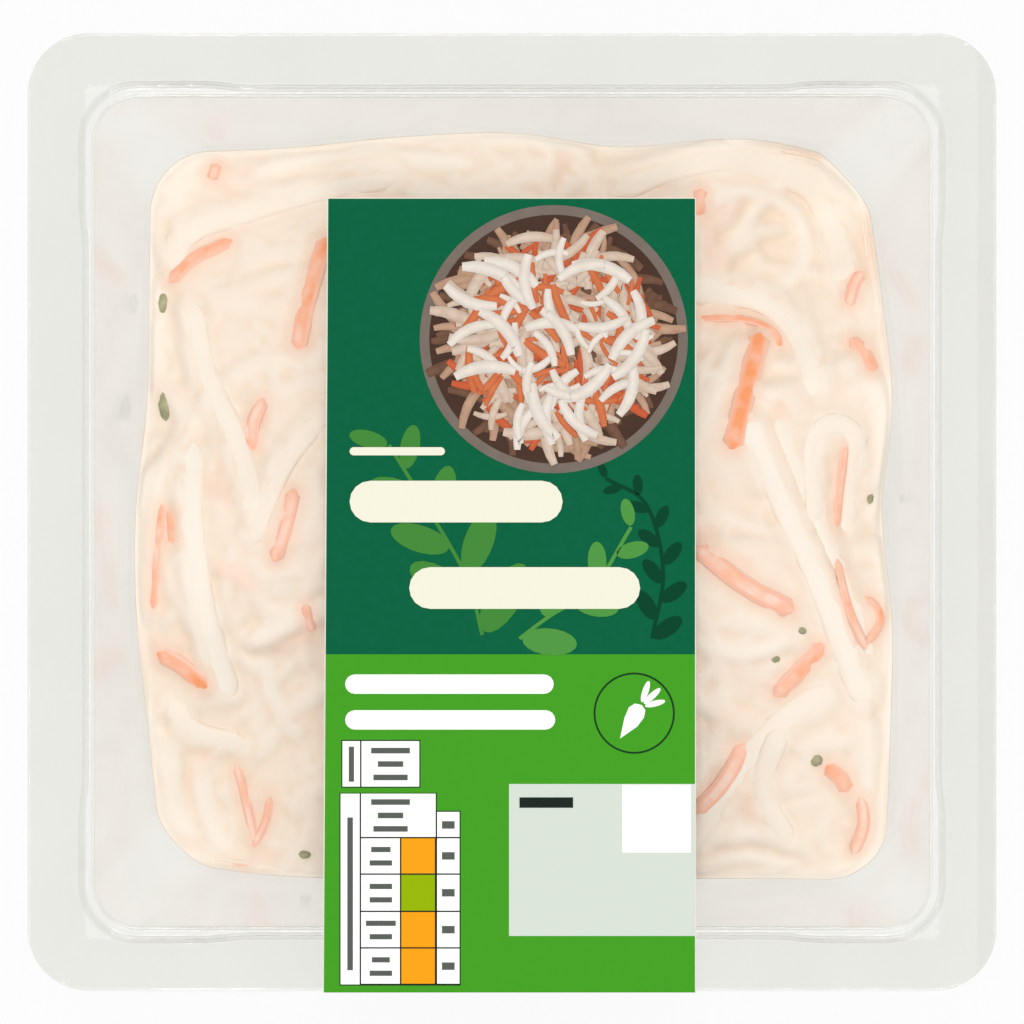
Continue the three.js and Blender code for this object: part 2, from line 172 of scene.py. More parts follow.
# ---------------------------------------------------------------------------------------------
# The tub. One sheet of clear rPET, 0.5 mm thick, drawn down into a mould by vacuum, so that
# every edge is a small round and the wall slopes. It stands on a ring round a raised panel.
# ---------------------------------------------------------------------------------------------
RIM_WIDTH, RIM_DEPTH, RIM_CORNER, RIM_THICKNESS = 130.0, 128.5, 8.2, 0.6
MOUTH_WIDTH, MOUTH_DEPTH, MOUTH_CORNER = 114.3, 113.6, 6.7
MOUTH_BULGE, MOUTH_DRAFT = 0.5, 0.15
LEDGE_DROP, LEDGE_WIDTH = 1.4, 1.05
LEDGE_HEIGHT = RIM_TOP - LEDGE_DROP
WALL_THICKNESS = 0.5
WALL_TILT = math.radians(16)
WALL_CORNER_TOP, WALL_CORNER_FOOT = 6.0, 10.0
FOOT_FILLET = 5.0
FOOT_CENTRE_HEIGHT = WALL_THICKNESS + FOOT_FILLET
STANDING_RING_WIDTH = 3.3
PANEL_CORNER, PANEL_RISE, PANEL_SLOPE = 4.0, 1.5, math.radians(40)
EDGE_ROUND, MOST_OF_SIDE, HOLD_BESIDE = 0.2, 0.3, 1.4
BULGE_FROM, BULGE_TO = 0.71, 0.81


def outline(half_x, half_y, radius, bulge, side_steps, corner_steps):
    """A rounded square as an array of plan points, counterclockwise from +X. With a bulge, its
    corners stand out from the middle stretches of its sides."""
    points = []
    for corner in range(4):
        along, across = (half_x, half_y) if corner % 2 == 0 else (half_y, half_x)
        angles = np.linspace(0, math.pi / 2, corner_steps + 1)
        arc_x = along - radius + (radius + bulge) * np.cos(angles)
        arc_y = across - radius + (radius + bulge) * np.sin(angles)
        marks = np.linspace(1, -1, side_steps + 2)[1:-1]
        rise = np.clip((np.abs(marks) - BULGE_FROM) / (BULGE_TO - BULGE_FROM), 0, 1)
        rise = rise * rise * (3 - 2 * rise)
        side_x = marks * (along - radius)
        side_y = across + bulge * rise
        x, y = np.concatenate([arc_x, side_x]), np.concatenate([arc_y, side_y])
        turn = corner * math.pi / 2
        points.append(np.column_stack([x * math.cos(turn) - y * math.sin(turn),
                                       x * math.sin(turn) + y * math.cos(turn)]))
    return np.concatenate(points)


def wall_section(height, outwards):
    """The wall at a height, moved outwards from its inner face, as half widths, corner radius,
    bulge and height."""
    depth = LEDGE_HEIGHT - height
    inwards = depth * math.tan(WALL_TILT) - outwards / math.cos(WALL_TILT)
    growth = (WALL_CORNER_FOOT - WALL_CORNER_TOP) / LEDGE_HEIGHT
    return np.array([MOUTH_WIDTH / 2 - LEDGE_WIDTH - inwards,
                     MOUTH_DEPTH / 2 - LEDGE_WIDTH - inwards,
                     WALL_CORNER_TOP + growth * depth + outwards, 0.0, height])


def drawn_in(section, inwards, height):
    """A section drawn in from another one, its corners never sharper than the panel's."""
    radius = max(section[2] - inwards, PANEL_CORNER)
    return np.array([section[0] - inwards, section[1] - inwards, radius, 0.0, height])


def foot_sections(outwards, steps=6):
    """The foot from the panel's edge out to the top of its fillet."""
    contact = wall_section(FOOT_CENTRE_HEIGHT - FOOT_FILLET * math.sin(WALL_TILT), 0)
    centre_inset = FOOT_FILLET * math.cos(WALL_TILT)
    fillet = FOOT_FILLET + outwards
    floor = FOOT_CENTRE_HEIGHT - fillet
    slope_foot = centre_inset + STANDING_RING_WIDTH + outwards * math.tan(PANEL_SLOPE / 2)
    slope_top = slope_foot + PANEL_RISE / math.tan(PANEL_SLOPE)
    sections = [drawn_in(contact, slope_top, floor + PANEL_RISE),
                drawn_in(contact, slope_foot, floor)]
    for angle in np.linspace(-math.pi / 2, -WALL_TILT, steps + 1):
        inset = centre_inset - fillet * math.cos(angle)
        sections.append(drawn_in(contact, inset, FOOT_CENTRE_HEIGHT + fillet * math.sin(angle)))
    return sections


def mouth_sections(outwards):
    """The ledge's two edges and the top of the step above it."""
    half_x, half_y = MOUTH_WIDTH / 2 + outwards, MOUTH_DEPTH / 2 + outwards
    radius = MOUTH_CORNER + outwards
    top = RIM_TOP - (RIM_THICKNESS if outwards > 0 else 0)
    return [wall_section(LEDGE_HEIGHT - outwards, outwards),
            np.array([half_x - MOUTH_DRAFT, half_y - MOUTH_DRAFT, radius - MOUTH_DRAFT,
                      MOUTH_BULGE, LEDGE_HEIGHT - outwards]),
            np.array([half_x, half_y, radius, MOUTH_BULGE, top])]


def rounded(sections, radius, steps=4):
    """The same run of sections with each edge between its ends turned into a small round, a
    section just outside either end of the round that keeps the flat beside it flat, and how
    sharply each of them bends the light, from 0 to 1, which the tub paints as grey shade lines;
    only the rounds at the mouth get any."""
    smooth, bends = [sections[0]], [0.0]
    for before, here, after in zip(sections, sections[1:], sections[2:]):
        back, on = before - here, after - here
        back_reach = min(radius / max(np.hypot(back[0], back[4]), 1e-6), MOST_OF_SIDE)
        on_reach = min(radius / max(np.hypot(on[0], on[4]), 1e-6), MOST_OF_SIDE)
        start, end = here + back * back_reach, here + on * on_reach
        smooth.append(here + back * back_reach * HOLD_BESIDE)
        bends.append(0.0)
        for share in np.linspace(0, 1, steps + 1):
            smooth.append((1 - share) ** 2 * start + 2 * share * (1 - share) * here
                          + share ** 2 * end)
            turn = abs(math.atan2(on[4], on[0]) - math.atan2(back[4], back[0]))
            turn = min(turn, math.tau - turn) / (math.pi / 2)
            near_mouth = here[4] > LEDGE_HEIGHT - 2 and here[0] < MOUTH_WIDTH / 2 + 1
            bends.append(4 * share * (1 - share) * min(turn, 1) * near_mouth)
        smooth.append(here + on * on_reach * HOLD_BESIDE)
        bends.append(0.0)
    return [*smooth, sections[-1]], [*bends, 0.0]


def loft_faces(size, rows):
    """Quads between rings of equal size, the first ring inside, faces up or outwards."""
    faces = []
    for row in range(rows - 1):
        inner, outer = row * size, (row + 1) * size
        for i in range(size):
            following = (i + 1) % size
            faces.append((inner + i, outer + i, outer + following, inner + following))
    return faces


def closed_loft(rings, start, end):
    """Points and faces of a closed body over the rings, with a fan at either end."""
    size, rows = len(rings[0]), len(rings)
    points = np.concatenate([*rings, [start], [end]])
    faces = loft_faces(size, rows)
    first_centre, last_centre, last_ring = size * rows, size * rows + 1, size * (rows - 1)
    for i in range(size):
        following = (i + 1) % size
        faces.append((first_centre, i, following))
        faces.append((last_centre, last_ring + following, last_ring + i))
    return points, faces


def ring_at(section, side_steps, corner_steps):
    half_x, half_y, radius, bulge, height = section
    plan = outline(half_x, half_y, radius, bulge, side_steps, corner_steps)
    return np.column_stack([plan, np.full(len(plan), height)])


HEAD_ON_MIRROR = 0.035


def clear_plastic(name, tint, edge_shade_and_weld_tint, haze, haze_colour, roughness, cloud_mm):
    """Clear plastic sheet: light goes straight through it, its skin mirrors more at a slant,
    and regrind or a weld gives it a faint uneven haze that light from either side makes glow,
    as far as its cloudy attribute goes. Where its bend attribute is high it lets less light
    through: at a weld that is the weld's own haze, and at the tub's sharp edges it is painted
    shade, thin grey lines for the light that the rounds bend away."""
    material, tree = new_material(name)
    place = add(tree, "ShaderNodeTexCoord")
    clouds = add(tree, "ShaderNodeTexNoise", {"Scale": 1000.0 / cloud_mm, "Detail": 0.0},
                 {"Vector": place.outputs["Object"]})
    edge_shade_and_weld = add(tree, "ShaderNodeAttribute", {"attribute_name": "bend"})
    passed = add(tree, "ShaderNodeMix", {"data_type": "RGBA", 6: linear(tint),
                                         7: linear(edge_shade_and_weld_tint)}, {0: edge_shade_and_weld.outputs["Fac"]})
    through = add(tree, "ShaderNodeBsdfTransparent", {}, {"Color": passed.outputs[2]})
    front = add(tree, "ShaderNodeBsdfDiffuse", {"Color": linear(haze_colour)})
    behind = add(tree, "ShaderNodeBsdfTranslucent", {"Color": linear(haze_colour)})
    body = add(tree, "ShaderNodeMixShader", {0: 0.5}, {1: front.outputs[0],
                                                       2: behind.outputs[0]})
    cloudy = add(tree, "ShaderNodeMath", {"operation": "MULTIPLY", 1: 2 * haze},
                 {0: clouds.outputs["Fac"]})
    cloudy_field = add(tree, "ShaderNodeAttribute", {"attribute_name": "cloudy"})
    haziness = add(tree, "ShaderNodeMath", {"operation": "MULTIPLY"},
                   {0: cloudy.outputs[0], 1: cloudy_field.outputs["Fac"]})
    hazed = add(tree, "ShaderNodeMixShader", {},
                {0: haziness.outputs[0], 1: through.outputs[0], 2: body.outputs[0]})
    skin = add(tree, "ShaderNodeBsdfGlossy", {"Roughness": roughness})
    slant = add(tree, "ShaderNodeLayerWeight", {"Blend": 0.5})
    grazing = add(tree, "ShaderNodeMath", {"operation": "POWER", 1: 5.0},
                  {0: slant.outputs["Facing"]})
    mirrored = add(tree, "ShaderNodeMath",
                   {"operation": "MULTIPLY_ADD", 1: 1 - HEAD_ON_MIRROR, 2: HEAD_ON_MIRROR},
                   {0: grazing.outputs[0]})
    surface = add(tree, "ShaderNodeMixShader", {},
                  {0: mirrored.outputs[0], 1: hazed.outputs[0], 2: skin.outputs[0]})
    finish_material(tree, surface)
    return material


def tub_sections():
    """The whole skin in order: inside from the panel out, over the rim, and back outside."""
    rim = np.array([RIM_WIDTH / 2, RIM_DEPTH / 2, RIM_CORNER, 0.0, RIM_TOP])
    rim_under = rim.copy()
    rim_under[4] -= RIM_THICKNESS
    inside = [*foot_sections(0), *mouth_sections(0)]
    outside = [*mouth_sections(WALL_THICKNESS)[::-1], *foot_sections(WALL_THICKNESS)[::-1]]
    return rounded([*inside, rim, rim_under, *outside], EDGE_ROUND)


def store(owner, name, values):
    """Keeps a number or a vector for each point of a mesh, under a name that nodes read."""
    values = np.asarray(values, np.float32)
    kind, key = ("FLOAT", "value") if values.ndim == 1 else ("FLOAT_VECTOR", "vector")
    owner.data.attributes.new(name, kind, "POINT").data.foreach_set(key, values.ravel())


TUB_SIDE_STEPS, TUB_CORNER_STEPS = 44, 14
SIDE_EDGE_SHADE, EDGE_SHADE_FADE = 0.35, 15.0
tub_run, tub_edge_shades = tub_sections()
tub_rings = [ring_at(section, TUB_SIDE_STEPS, TUB_CORNER_STEPS) for section in tub_run]
tub_points, tub_faces = closed_loft(tub_rings, (0, 0, PANEL_RISE + WALL_THICKNESS),
                                    (0, 0, PANEL_RISE))
rpet_sheet = clear_plastic("clear_rpet_sheet", "fefefc", "e0e0da", 0.04, "e4e6e0", 0.07, 12.0)
tub = mesh_object("tub_shell", tub_points, tub_faces, [rpet_sheet])
# Painted shade: the mouth's edge rounds get grey lines for the light they bend away, in full
# along the front and back and at a share along the sides, from how the light falls
front_back_shade = np.clip((np.abs(tub_points[:, 1]) - np.abs(tub_points[:, 0])) / EDGE_SHADE_FADE, 0, 1)
edge_shade_share = SIDE_EDGE_SHADE + (1 - SIDE_EDGE_SHADE) * front_back_shade
store(tub, "bend", edge_shade_share * [*np.repeat(tub_edge_shades, len(tub_rings[0])), 0, 0])
store(tub, "cloudy", np.ones(len(tub_points)))
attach(tub, "root")
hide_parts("tub")

# ---------------------------------------------------------------------------------------------
# The dressing. A heap of slaw fills the tub up to a wavy line on the wall and rounds up to a
# flattish crown. Thick creamy dressing coats it all, sinks the finer shreds to soft ridges and
# wets the clear wall. It is worked out on a height map that the shreds are laid on.
# ---------------------------------------------------------------------------------------------
CONTACT_HEIGHTS = np.array([25, 29, 24, 18, 27, 24, 29.5, 28, 23.5, 21.5, 22, 23,
                            27.5, 27, 22, 18, 23.5, 24.5, 24, 25, 24.5, 25.5, 28, 29])
CROWN_HEIGHT, CROWN_WAVE = 40.0, 0.4
CROWN_SINES = ((0.17, 0.14, 1.0), (0.17, -0.14, 1.0), (-0.08, 0.21, 0.0))
HEAP_SQUARENESS = 12
MAP_REACH, MAP_CELLS = 54.0, 300
MAP_STEP = 2 * MAP_REACH / (MAP_CELLS - 1)
map_axis = np.linspace(-MAP_REACH, MAP_REACH, MAP_CELLS)
map_x, map_y = np.meshgrid(map_axis, map_axis, indexing="ij")
drawn = np.random.default_rng(20)


def contact_height(x, y):
    """How high the heap stands against the wall in a point's direction."""
    count = len(CONTACT_HEIGHTS)
    place = (np.arctan2(y, x) / math.tau % 1) * count
    step = np.floor(place).astype(int)
    share = place - step
    before, start, end, after = (CONTACT_HEIGHTS[(step + shift) % count]
                                 for shift in (-1, 0, 1, 2))
    bow = 2 * before - 5 * start + 4 * end - after
    twist = 3 * start - before - 3 * end + after
    return start + ((end - before) * share + bow * share ** 2 + twist * share ** 3) / 2


def wall_room(x, y):
    """How far a plan point is from the wall where the heap touches it."""
    power = HEAP_SQUARENESS
    reach = (np.abs(x) ** power + np.abs(y) ** power) ** (1 / power)
    to_foot = (LEDGE_HEIGHT - contact_height(x, y)) * math.tan(WALL_TILT)
    return MOUTH_WIDTH / 2 - LEDGE_WIDTH - to_foot - reach


def heap_height(x, y):
    """The heap's upper surface before any shred lies on it: a low dome."""
    low = contact_height(x, y)
    taper = (LEDGE_HEIGHT - low) * math.tan(WALL_TILT)
    rise_x = np.clip(1 - (x / (MOUTH_WIDTH / 2 - LEDGE_WIDTH - taper)) ** 2, 0, 1)
    rise_y = np.clip(1 - (y / (MOUTH_DEPTH / 2 - LEDGE_WIDTH - taper)) ** 2, 0, 1)
    ripples = sum(np.sin(per_x * x + per_y * y + phase) for per_x, per_y, phase in CROWN_SINES)
    return low + (CROWN_HEIGHT + CROWN_WAVE * ripples - low) * rise_x * rise_y


def blurred(grid, sigma_mm):
    """A grid smoothed by a Gaussian of a width in millimetres."""
    reach = int(math.ceil(3 * sigma_mm / MAP_STEP))
    offsets = np.arange(-reach, reach + 1) * MAP_STEP
    kernel = np.exp(-(offsets / sigma_mm) ** 2 / 2)
    kernel /= kernel.sum()
    padded = np.pad(grid, reach, mode="edge")
    rows = sum(weight * padded[:, i:i + grid.shape[1]] for i, weight in enumerate(kernel))
    return sum(weight * rows[i:i + grid.shape[0], :] for i, weight in enumerate(kernel))


def sampled(grid, x, y):
    """The grid's value at places in millimetres, read between its cells."""
    i = np.clip((x + MAP_REACH) / MAP_STEP, 0, MAP_CELLS - 1.001)
    j = np.clip((y + MAP_REACH) / MAP_STEP, 0, MAP_CELLS - 1.001)
    low_i, low_j = i.astype(int), j.astype(int)
    share_i, share_j = i - low_i, j - low_j
    low = grid[low_i, low_j] * (1 - share_j) + grid[low_i, low_j + 1] * share_j
    high = grid[low_i + 1, low_j] * (1 - share_j) + grid[low_i + 1, low_j + 1] * share_j
    return low * (1 - share_i) + high * share_i


def bend(points, count):
    """A smooth line through plan points, evenly spaced."""
    points = np.array(points, float)
    ends = [2 * points[0] - points[1], *points, 2 * points[-1] - points[-2]]
    line = []
    for before, start, end, after in zip(ends, ends[1:], ends[2:], ends[3:]):
        for share in np.linspace(0, 1, 24, endpoint=False):
            line.append(0.5 * (2 * start + (end - before) * share
                               + (2 * before - 5 * start + 4 * end - after) * share ** 2
                               + (3 * start - before - 3 * end + after) * share ** 3))
    line = np.array([*line, points[-1]])
    gone = np.concatenate([[0], np.cumsum(np.linalg.norm(np.diff(line, axis=0), axis=1))])
    even = np.linspace(0, gone[-1], count)
    return np.column_stack([np.interp(even, gone, line[:, 0]), np.interp(even, gone, line[:, 1])])


SHRED_FLATNESS, SHRED_SAMPLE, SHRED_CLEARANCE = 0.34, 0.8, 0.2
BLUNT_END, ROUND_END = 0.12, 0.5
SETTLE_SAMPLES = 9
TOP_FADE, SIDE_FADE, BARE_EDGE = 0.15, 0.7, 0.1
STAIN_START, STAIN_AND_SHADE_REACH, SHADE_BESIDE_AWAY, BESIDE_REACH = 0.8, 0.6, 0.8, 3.0
CLIMB_SHARE, CLIMB_SPREAD, CLIMB_SHORT_OF = 0.7, 0.4, 0.12
pile = heap_height(map_x, map_y)
coat = pile.copy()
pale_map, carrot_map, painted_shade_beside_map = (np.zeros_like(pile) for _ in range(3))
bare_tops = np.full_like(pile, RIM_TOP)


def tapered(width, from_end, round_end):
    """A shred's half width at some distances from its nearer end, which is rounded off."""
    return width / 2 * np.sqrt(np.clip(from_end / round_end, 0, 1) * 0.95 + 0.05)


def lay_shred(plan, width, sink, cover=None, pale=0.0, orange=0.0, blunt=False):
    """Lays a shred on the pile along a plan line and raises the pile. Sink is how much of its
    thickness settles in. Cover is the dressing left on top of it. With none it stays bare: the
    dressing pales beside it, a band of painted shade is laid on the dressing just beside it, and
    bare_tops keeps the height that the dressing may not climb over. Pale and orange are how far
    the shred colours the coat."""
    length = np.linalg.norm(np.diff(plan, axis=0), axis=1).sum()
    x, y = bend(plan, max(10, int(length / SHRED_SAMPLE))).T
    room = wall_room(x, y) - width / 2 - SHRED_CLEARANCE
    pull = 1 + np.minimum(room, 0) / np.maximum(np.hypot(x, y), 1)
    x, y = x * pull, y * pull
    thickness = width * SHRED_FLATNESS
    padded = np.pad(sampled(pile, x, y), SETTLE_SAMPLES // 2, mode="edge")
    under = np.convolve(padded, np.ones(SETTLE_SAMPLES) / SETTLE_SAMPLES, mode="valid")
    centre = under + thickness * (0.5 - sink)
    along = np.linspace(0, length, len(x))
    round_end = width * (BLUNT_END if blunt else ROUND_END)
    half = tapered(width, np.minimum(along, length - along), round_end)
    margin = width / 2 + BESIDE_REACH
    columns = slice(*np.searchsorted(map_axis, [x.min() - margin, x.max() + margin]))
    rows = slice(*np.searchsorted(map_axis, [y.min() - margin, y.max() + margin]))
    gap_x = map_x[columns, rows, None] - x
    gap_y = map_y[columns, rows, None] - y
    distance = np.sqrt(gap_x ** 2 + gap_y ** 2)
    round_off = np.clip(1 - (distance / half) ** 4, 0, 1) ** 0.4
    top = np.where(distance < half, centre + thickness / 2 * round_off, -1).max(axis=2)
    on_top = np.clip((top - pile[columns, rows]) / TOP_FADE, 0, 1)
    inside = np.clip((half - distance) / SIDE_FADE, 0, 1).max(axis=2) * on_top
    pale_map[columns, rows] += (pale - pale_map[columns, rows]) * inside
    carrot_map[columns, rows] *= 1 - inside
    if orange > 0:
        away = np.clip(distance - half * STAIN_START, 0, None)
        glow = np.exp(-(away / STAIN_AND_SHADE_REACH) ** 2).max(axis=2) * orange
        carrot_map[columns, rows] = np.maximum(carrot_map[columns, rows], glow)
    pile[columns, rows] = np.maximum(pile[columns, rows], top)
    if cover is None:
        # A band of painted shade runs along each side of a bare shred, on the dressing beside it
        gap = (distance - half).min(axis=2)
        beside = np.exp(-((gap - SHADE_BESIDE_AWAY) / STAIN_AND_SHADE_REACH) ** 2)
        painted_shade_beside_map[columns, rows] = np.maximum(painted_shade_beside_map[columns, rows], beside)
        nearest = distance.argmin(axis=2)[..., None]
        own_tops = centre + thickness / 2 * round_off
        own_top = np.take_along_axis(own_tops, nearest, axis=2)[..., 0]
        kept_bare = np.where(gap < -BARE_EDGE * width, own_top, RIM_TOP)
        bare_tops[columns, rows] = np.minimum(bare_tops[columns, rows], kept_bare)
        climbing = np.exp(-(np.clip(gap, 0, None) / STAIN_AND_SHADE_REACH) ** 2) * pale
        pale_map[columns, rows] = np.maximum(pale_map[columns, rows], climbing)
    else:
        coat[columns, rows] = np.maximum(coat[columns, rows], top + cover)
    return np.column_stack([x, y, centre]), half


def scattered(cells, spread, half_low, half_high, bow):
    """Plan lines scattered evenly, one for each cell of a square grid."""
    cell = 2 * spread / cells
    for row in range(cells):
        for column in range(cells):
            x = (column + 0.5) * cell - spread + drawn.uniform(-cell, cell) / 2
            y = (row + 0.5) * cell - spread + drawn.uniform(-cell, cell) / 2
            angle = drawn.uniform(0, math.pi)
            half = drawn.uniform(half_low, half_high)
            along = np.array([math.cos(angle), math.sin(angle)])
            across = np.array([-along[1], along[0]]) * drawn.uniform(-bow, bow)
            middle = np.array([x, y])
            line = np.array([middle - along * half, middle + across, middle + along * half])
            yield np.clip(line, -spread, spread)


# The shreds that the coat hides: broad cabbage, then carrot, then fine cabbage
for line in scattered(10, 50, 6, 14, 6):
    lay_shred(line, drawn.uniform(2.0, 3.8), 0.88, 0.2, pale=drawn.uniform(0.0, 0.5))
for line in scattered(9, 49, 2, 5, 2):
    lay_shred(line, drawn.uniform(1.0, 2.0), 0.8, 0.2, orange=drawn.uniform(0.1, 0.3))
for line in scattered(23, 50, 1.5, 5, 3):
    lay_shred(line, drawn.uniform(0.8, 1.8), 0.7, 0.15, pale=drawn.uniform(0, 0.5))

# The long shreds under the coat, which they raise to soft ridges: width, then plan
for width, *line in [
        (3.3, (-35.6, 46.2), (-28.8, 47.6), (-17.9, 48.1), (-5.7, 47.2)),
        (3.0, (-46.2, 9.8), (-48.1, 1.7), (-49.2, -6.4), (-49.4, -14.6)),
        (3.6, (-35.6, -18.0), (-29.5, -14.6), (-23.4, -11.9)),
        (3.0, (-33.7, -19.3), (-32.2, -25.5), (-28.8, -30.9)),
        (2.7, (25.5, 41.8), (32.3, 44.1), (39.1, 40.8), (39.9, 34.0), (35.3, 29.4)),
        (3.3, (25.0, -17.3), (31.0, -18.9), (37.5, -17.3)),
        (3.6, (48.9, 18.7), (50.1, 11.2), (48.7, 3.1)),
        (2.7, (24.2, -48.8), (31.6, -46.9), (39.1, -48.3)),
        (3.6, (24.2, -45.1), (32.3, -43.4), (40.5, -45.8)),
        (2.7, (47.5, -25.5), (48.6, -33.6), (48.0, -43.1)),
        (3.6, (-47.0, -32.9), (-46.6, -40.4), (-44.4, -44.8)),
        (3.3, (-43.0, -34.3), (-42.0, -40.4), (-39.4, -46.9)),
]:
    lay_shred(line, width, 0.72, 0.15, pale=0.8)
coat_soft = blurred(coat, 0.35)
pile = coat_soft.copy()
cabbage_lines, carrot_lines = [], []

# The long shreds that lie bare on the coat: width, how far the dressing hides them, then plan
for width, milk, *line in [
        (4.1, 0.6, (-47.6, 33.0), (-44.4, 38.6), (-36.3, 41.6), (-25.4, 44.6), (-15.2, 46.2)),
        (3.6, 0.6, (-47.2, -25.5), (-43.7, -30.2), (-36.3, -32.2)),
        (3.6, 0.7, (-24.7, 14.6), (-30.8, 7.1), (-33.9, 0.3), (-35.6, -4.4)),
        (4.1, 0.5, (-44.3, 28.9), (-42.4, 19.3), (-38.0, 9.8), (-34.8, -1.0)),
        (4.5, 0.1, (-44.0, 9.8), (-44.0, -1.0), (-42.4, -13.2), (-38.8, -26.1)),
        (4.9, 0.7, (13.3, 43.8), (22.8, 47.6), (31.6, 48.9), (39.8, 46.5), (44.3, 40.4),
         (45.9, 30.2)),
        (4.4, 0.4, (17.4, 30.9), (25.5, 30.5), (33.7, 29.4), (39.1, 24.8), (42.1, 15.3)),
        (2.5, 0.6, (36.1, 12.6), (39.5, 4.4), (45.6, -9.8), (49.0, -20.0)),
        (4.7, 0.2, (32.0, 13.2), (37.1, 1.7), (42.9, -11.2), (48.6, -26.5)),
        (3.0, 0.7, (41.5, -1.7), (41.0, 8.5), (43.4, 12.0), (47.0, 9.8), (46.2, 1.7),
         (45.6, -3.1)),
        (4.7, 0.5, (43.9, -24.1), (35.7, -30.2), (28.9, -39.0), (24.2, -47.2)),
        (3.3, 0.7, (36.7, -29.3), (34.2, -37.7), (38.0, -45.8)),
]:
    laid = lay_shred(line, width, 0.56 + 0.14 * milk, pale=0.6 * (1 - 0.9 * milk))
    cabbage_lines.append((*laid, milk))

# The carrot sticks that lie on top: width, how far the dressing hides them, then plan
for width, milk, *line in [
        (1.9, 0.6, (-47.0, 31.6), (-43.7, 34.8), (-38.4, 37.3)),
        (2.6, 0.35, (-25.3, 37.5), (-27.3, 30.9), (-29.3, 22.1)),
        (2.1, 0.8, (-33.9, 15.5), (-35.3, 11.9), (-35.3, 8.5)),
        (2.1, 0.7, (-29.6, 3.1), (-30.7, -2.4), (-32.3, -6.7)),
        (2.7, 0.15, (-48.6, -19.3), (-45.3, -21.1), (-41.8, -24.1)),
        (3.0, 0.15, (33.9, 24.4), (31.8, 16.6), (29.7, 8.5)),
        (2.8, 0.8, (25.0, -4.8), (31.6, -10.0), (38.2, -13.4)),
        (2.5, 0.6, (42.4, -18.0), (39.1, -21.7), (35.8, -25.1)),
        (2.4, 0.8, (31.8, -31.6), (28.8, -37.0), (25.1, -41.1)),
        (1.7, 0.9, (48.2, 33.0), (47.0, 31.3), (46.2, 28.2)),
        (1.9, 0.5, (46.2, 23.7), (48.1, 22.1), (49.5, 19.1)),
        (1.2, 0.5, (45.5, 9.2), (44.8, 3.1), (44.3, -2.1)),
        (1.2, 0.6, (44.3, -6.4), (45.9, -13.2), (48.3, -18.7)),
        (1.2, 0.5, (48.3, -11.6), (50.0, -13.2), (50.2, -15.3), (48.3, -18.0)),
        (2.2, 0.5, (42.9, -34.7), (44.8, -36.3), (45.9, -38.2)),
        (1.8, 0.8, (47.8, -39.0), (48.1, -43.1), (46.7, -46.9)),
        (1.1, 0.3, (25.1, 26.5), (31.6, 26.4), (35.7, 24.8), (36.8, 22.1)),
        (1.8, 0.7, (25.8, 44.1), (25.5, 40.5)),
        (1.6, 0.8, (-40.6, 47.9), (-41.3, 45.7)),
        (1.3, 0.8, (-37.9, -34.7), (-36.9, -39.0), (-35.3, -45.8)),
        (1.2, 0.6, (-33.1, -38.4), (-33.9, -42.4), (-35.6, -46.1)),
        (1.1, 0.6, (-47.8, 1.0), (-48.6, -6.4), (-49.1, -13.2)),
        (1.4, 0.6, (-46.7, 0.3), (-46.2, -4.4)),
        (1.4, 0.7, (-28.1, -12.6), (-27.2, -16.2)),
]:
    laid = lay_shred(line, width, 0.25, orange=0.55, blunt=True)
    carrot_lines.append((*laid, milk))

# The dressing wets the bare shreds and climbs their sides, but never over their tops
climbed = coat_soft + CLIMB_SHARE * blurred(pile - coat_soft, CLIMB_SPREAD)
coat_soft = blurred(np.minimum(climbed, bare_tops - CLIMB_SHORT_OF), 0.2)


def creases(wide, narrow, depth):
    """Where the coat dips below what is round it, from 0 to 1 at a depth in millimetres."""
    return np.clip((blurred(coat, wide) - blurred(coat, narrow)) / depth, 0, 1)


# Painted shade: the coat is coloured tanner where it dips between shreds and beside the bare ones
painted_crease_shade_map = np.maximum(0.4 * creases(2.6, 0.8, 0.8), 0.7 * creases(1.0, 0.3, 0.25))
painted_crease_shade_map = np.maximum(painted_crease_shade_map, 0.55 * painted_shade_beside_map)
pale_soft, carrot_soft = blurred(pale_map, 0.45), blurred(carrot_map, 0.45)

COAT_SIDE_STEPS, COAT_CORNER_STEPS = 122, 18
WALL_BITE = 0.08
TOP_ROWS, WALL_ROWS = 108, 22


def coat_ring(section):
    return ring_at(section, COAT_SIDE_STEPS, COAT_CORNER_STEPS)


wall_low, wall_high = coat_ring(wall_section(0, 0)), coat_ring(wall_section(LEDGE_HEIGHT, 0))
wall_out = coat_ring(wall_section(0, 1)) - wall_low


def on_wall(height, outwards):
    """Points all round the inner wall, each at its own height and distance outwards."""
    share = (height / LEDGE_HEIGHT)[:, None]
    return wall_low * (1 - share) + wall_high * share + wall_out * outwards[:, None]


def hollows(points):
    """Where air is shut in between the food and the clear wall, from 0 to 1."""
    x, y, z = points.T
    swirl = (np.sin(x * 0.31 + 2.1 * np.sin(z * 0.23) + y * 0.11)
             * np.sin(y * 0.27 + 1.7 * np.sin(x * 0.19 + z * 0.35))
             * np.sin(z * 0.42 + x * 0.13 - y * 0.17 + 1.0))
    return np.clip((swirl - 0.18) / 0.3, 0, 1)


def carrot_patches(points):
    """Where carrot shows faintly through the coat at the wall and the base, from 0 to 1."""
    return np.clip(hollows(points[:, [1, 2, 0]] + 40) - 0.4, 0, 1)


EDGE_PAINTED_LIGHT, EDGE_LIGHT_WIDTH, EDGE_BLEND = 0.8, 1.2, 0.015
COAT_PALE, HOLLOW_SHADE = 0.4, 0.8
WALL_HOLLOW, PANEL_HOLLOW = 0.9, 0.6
FOOT_ROW, PANEL_ROWS = 1.3, 38
coat_rings, coat_fields = [], {"crease_shade": [], "over_cabbage": [], "over_carrot": []}


def add_coat_ring(points, crease_shade, pale, orange):
    """Adds a ring to the coat, with what its material reads there."""
    coat_rings.append(points)
    for field_rings, values in zip(coat_fields.values(), (crease_shade, pale, orange)):
        field_rings.append(values)


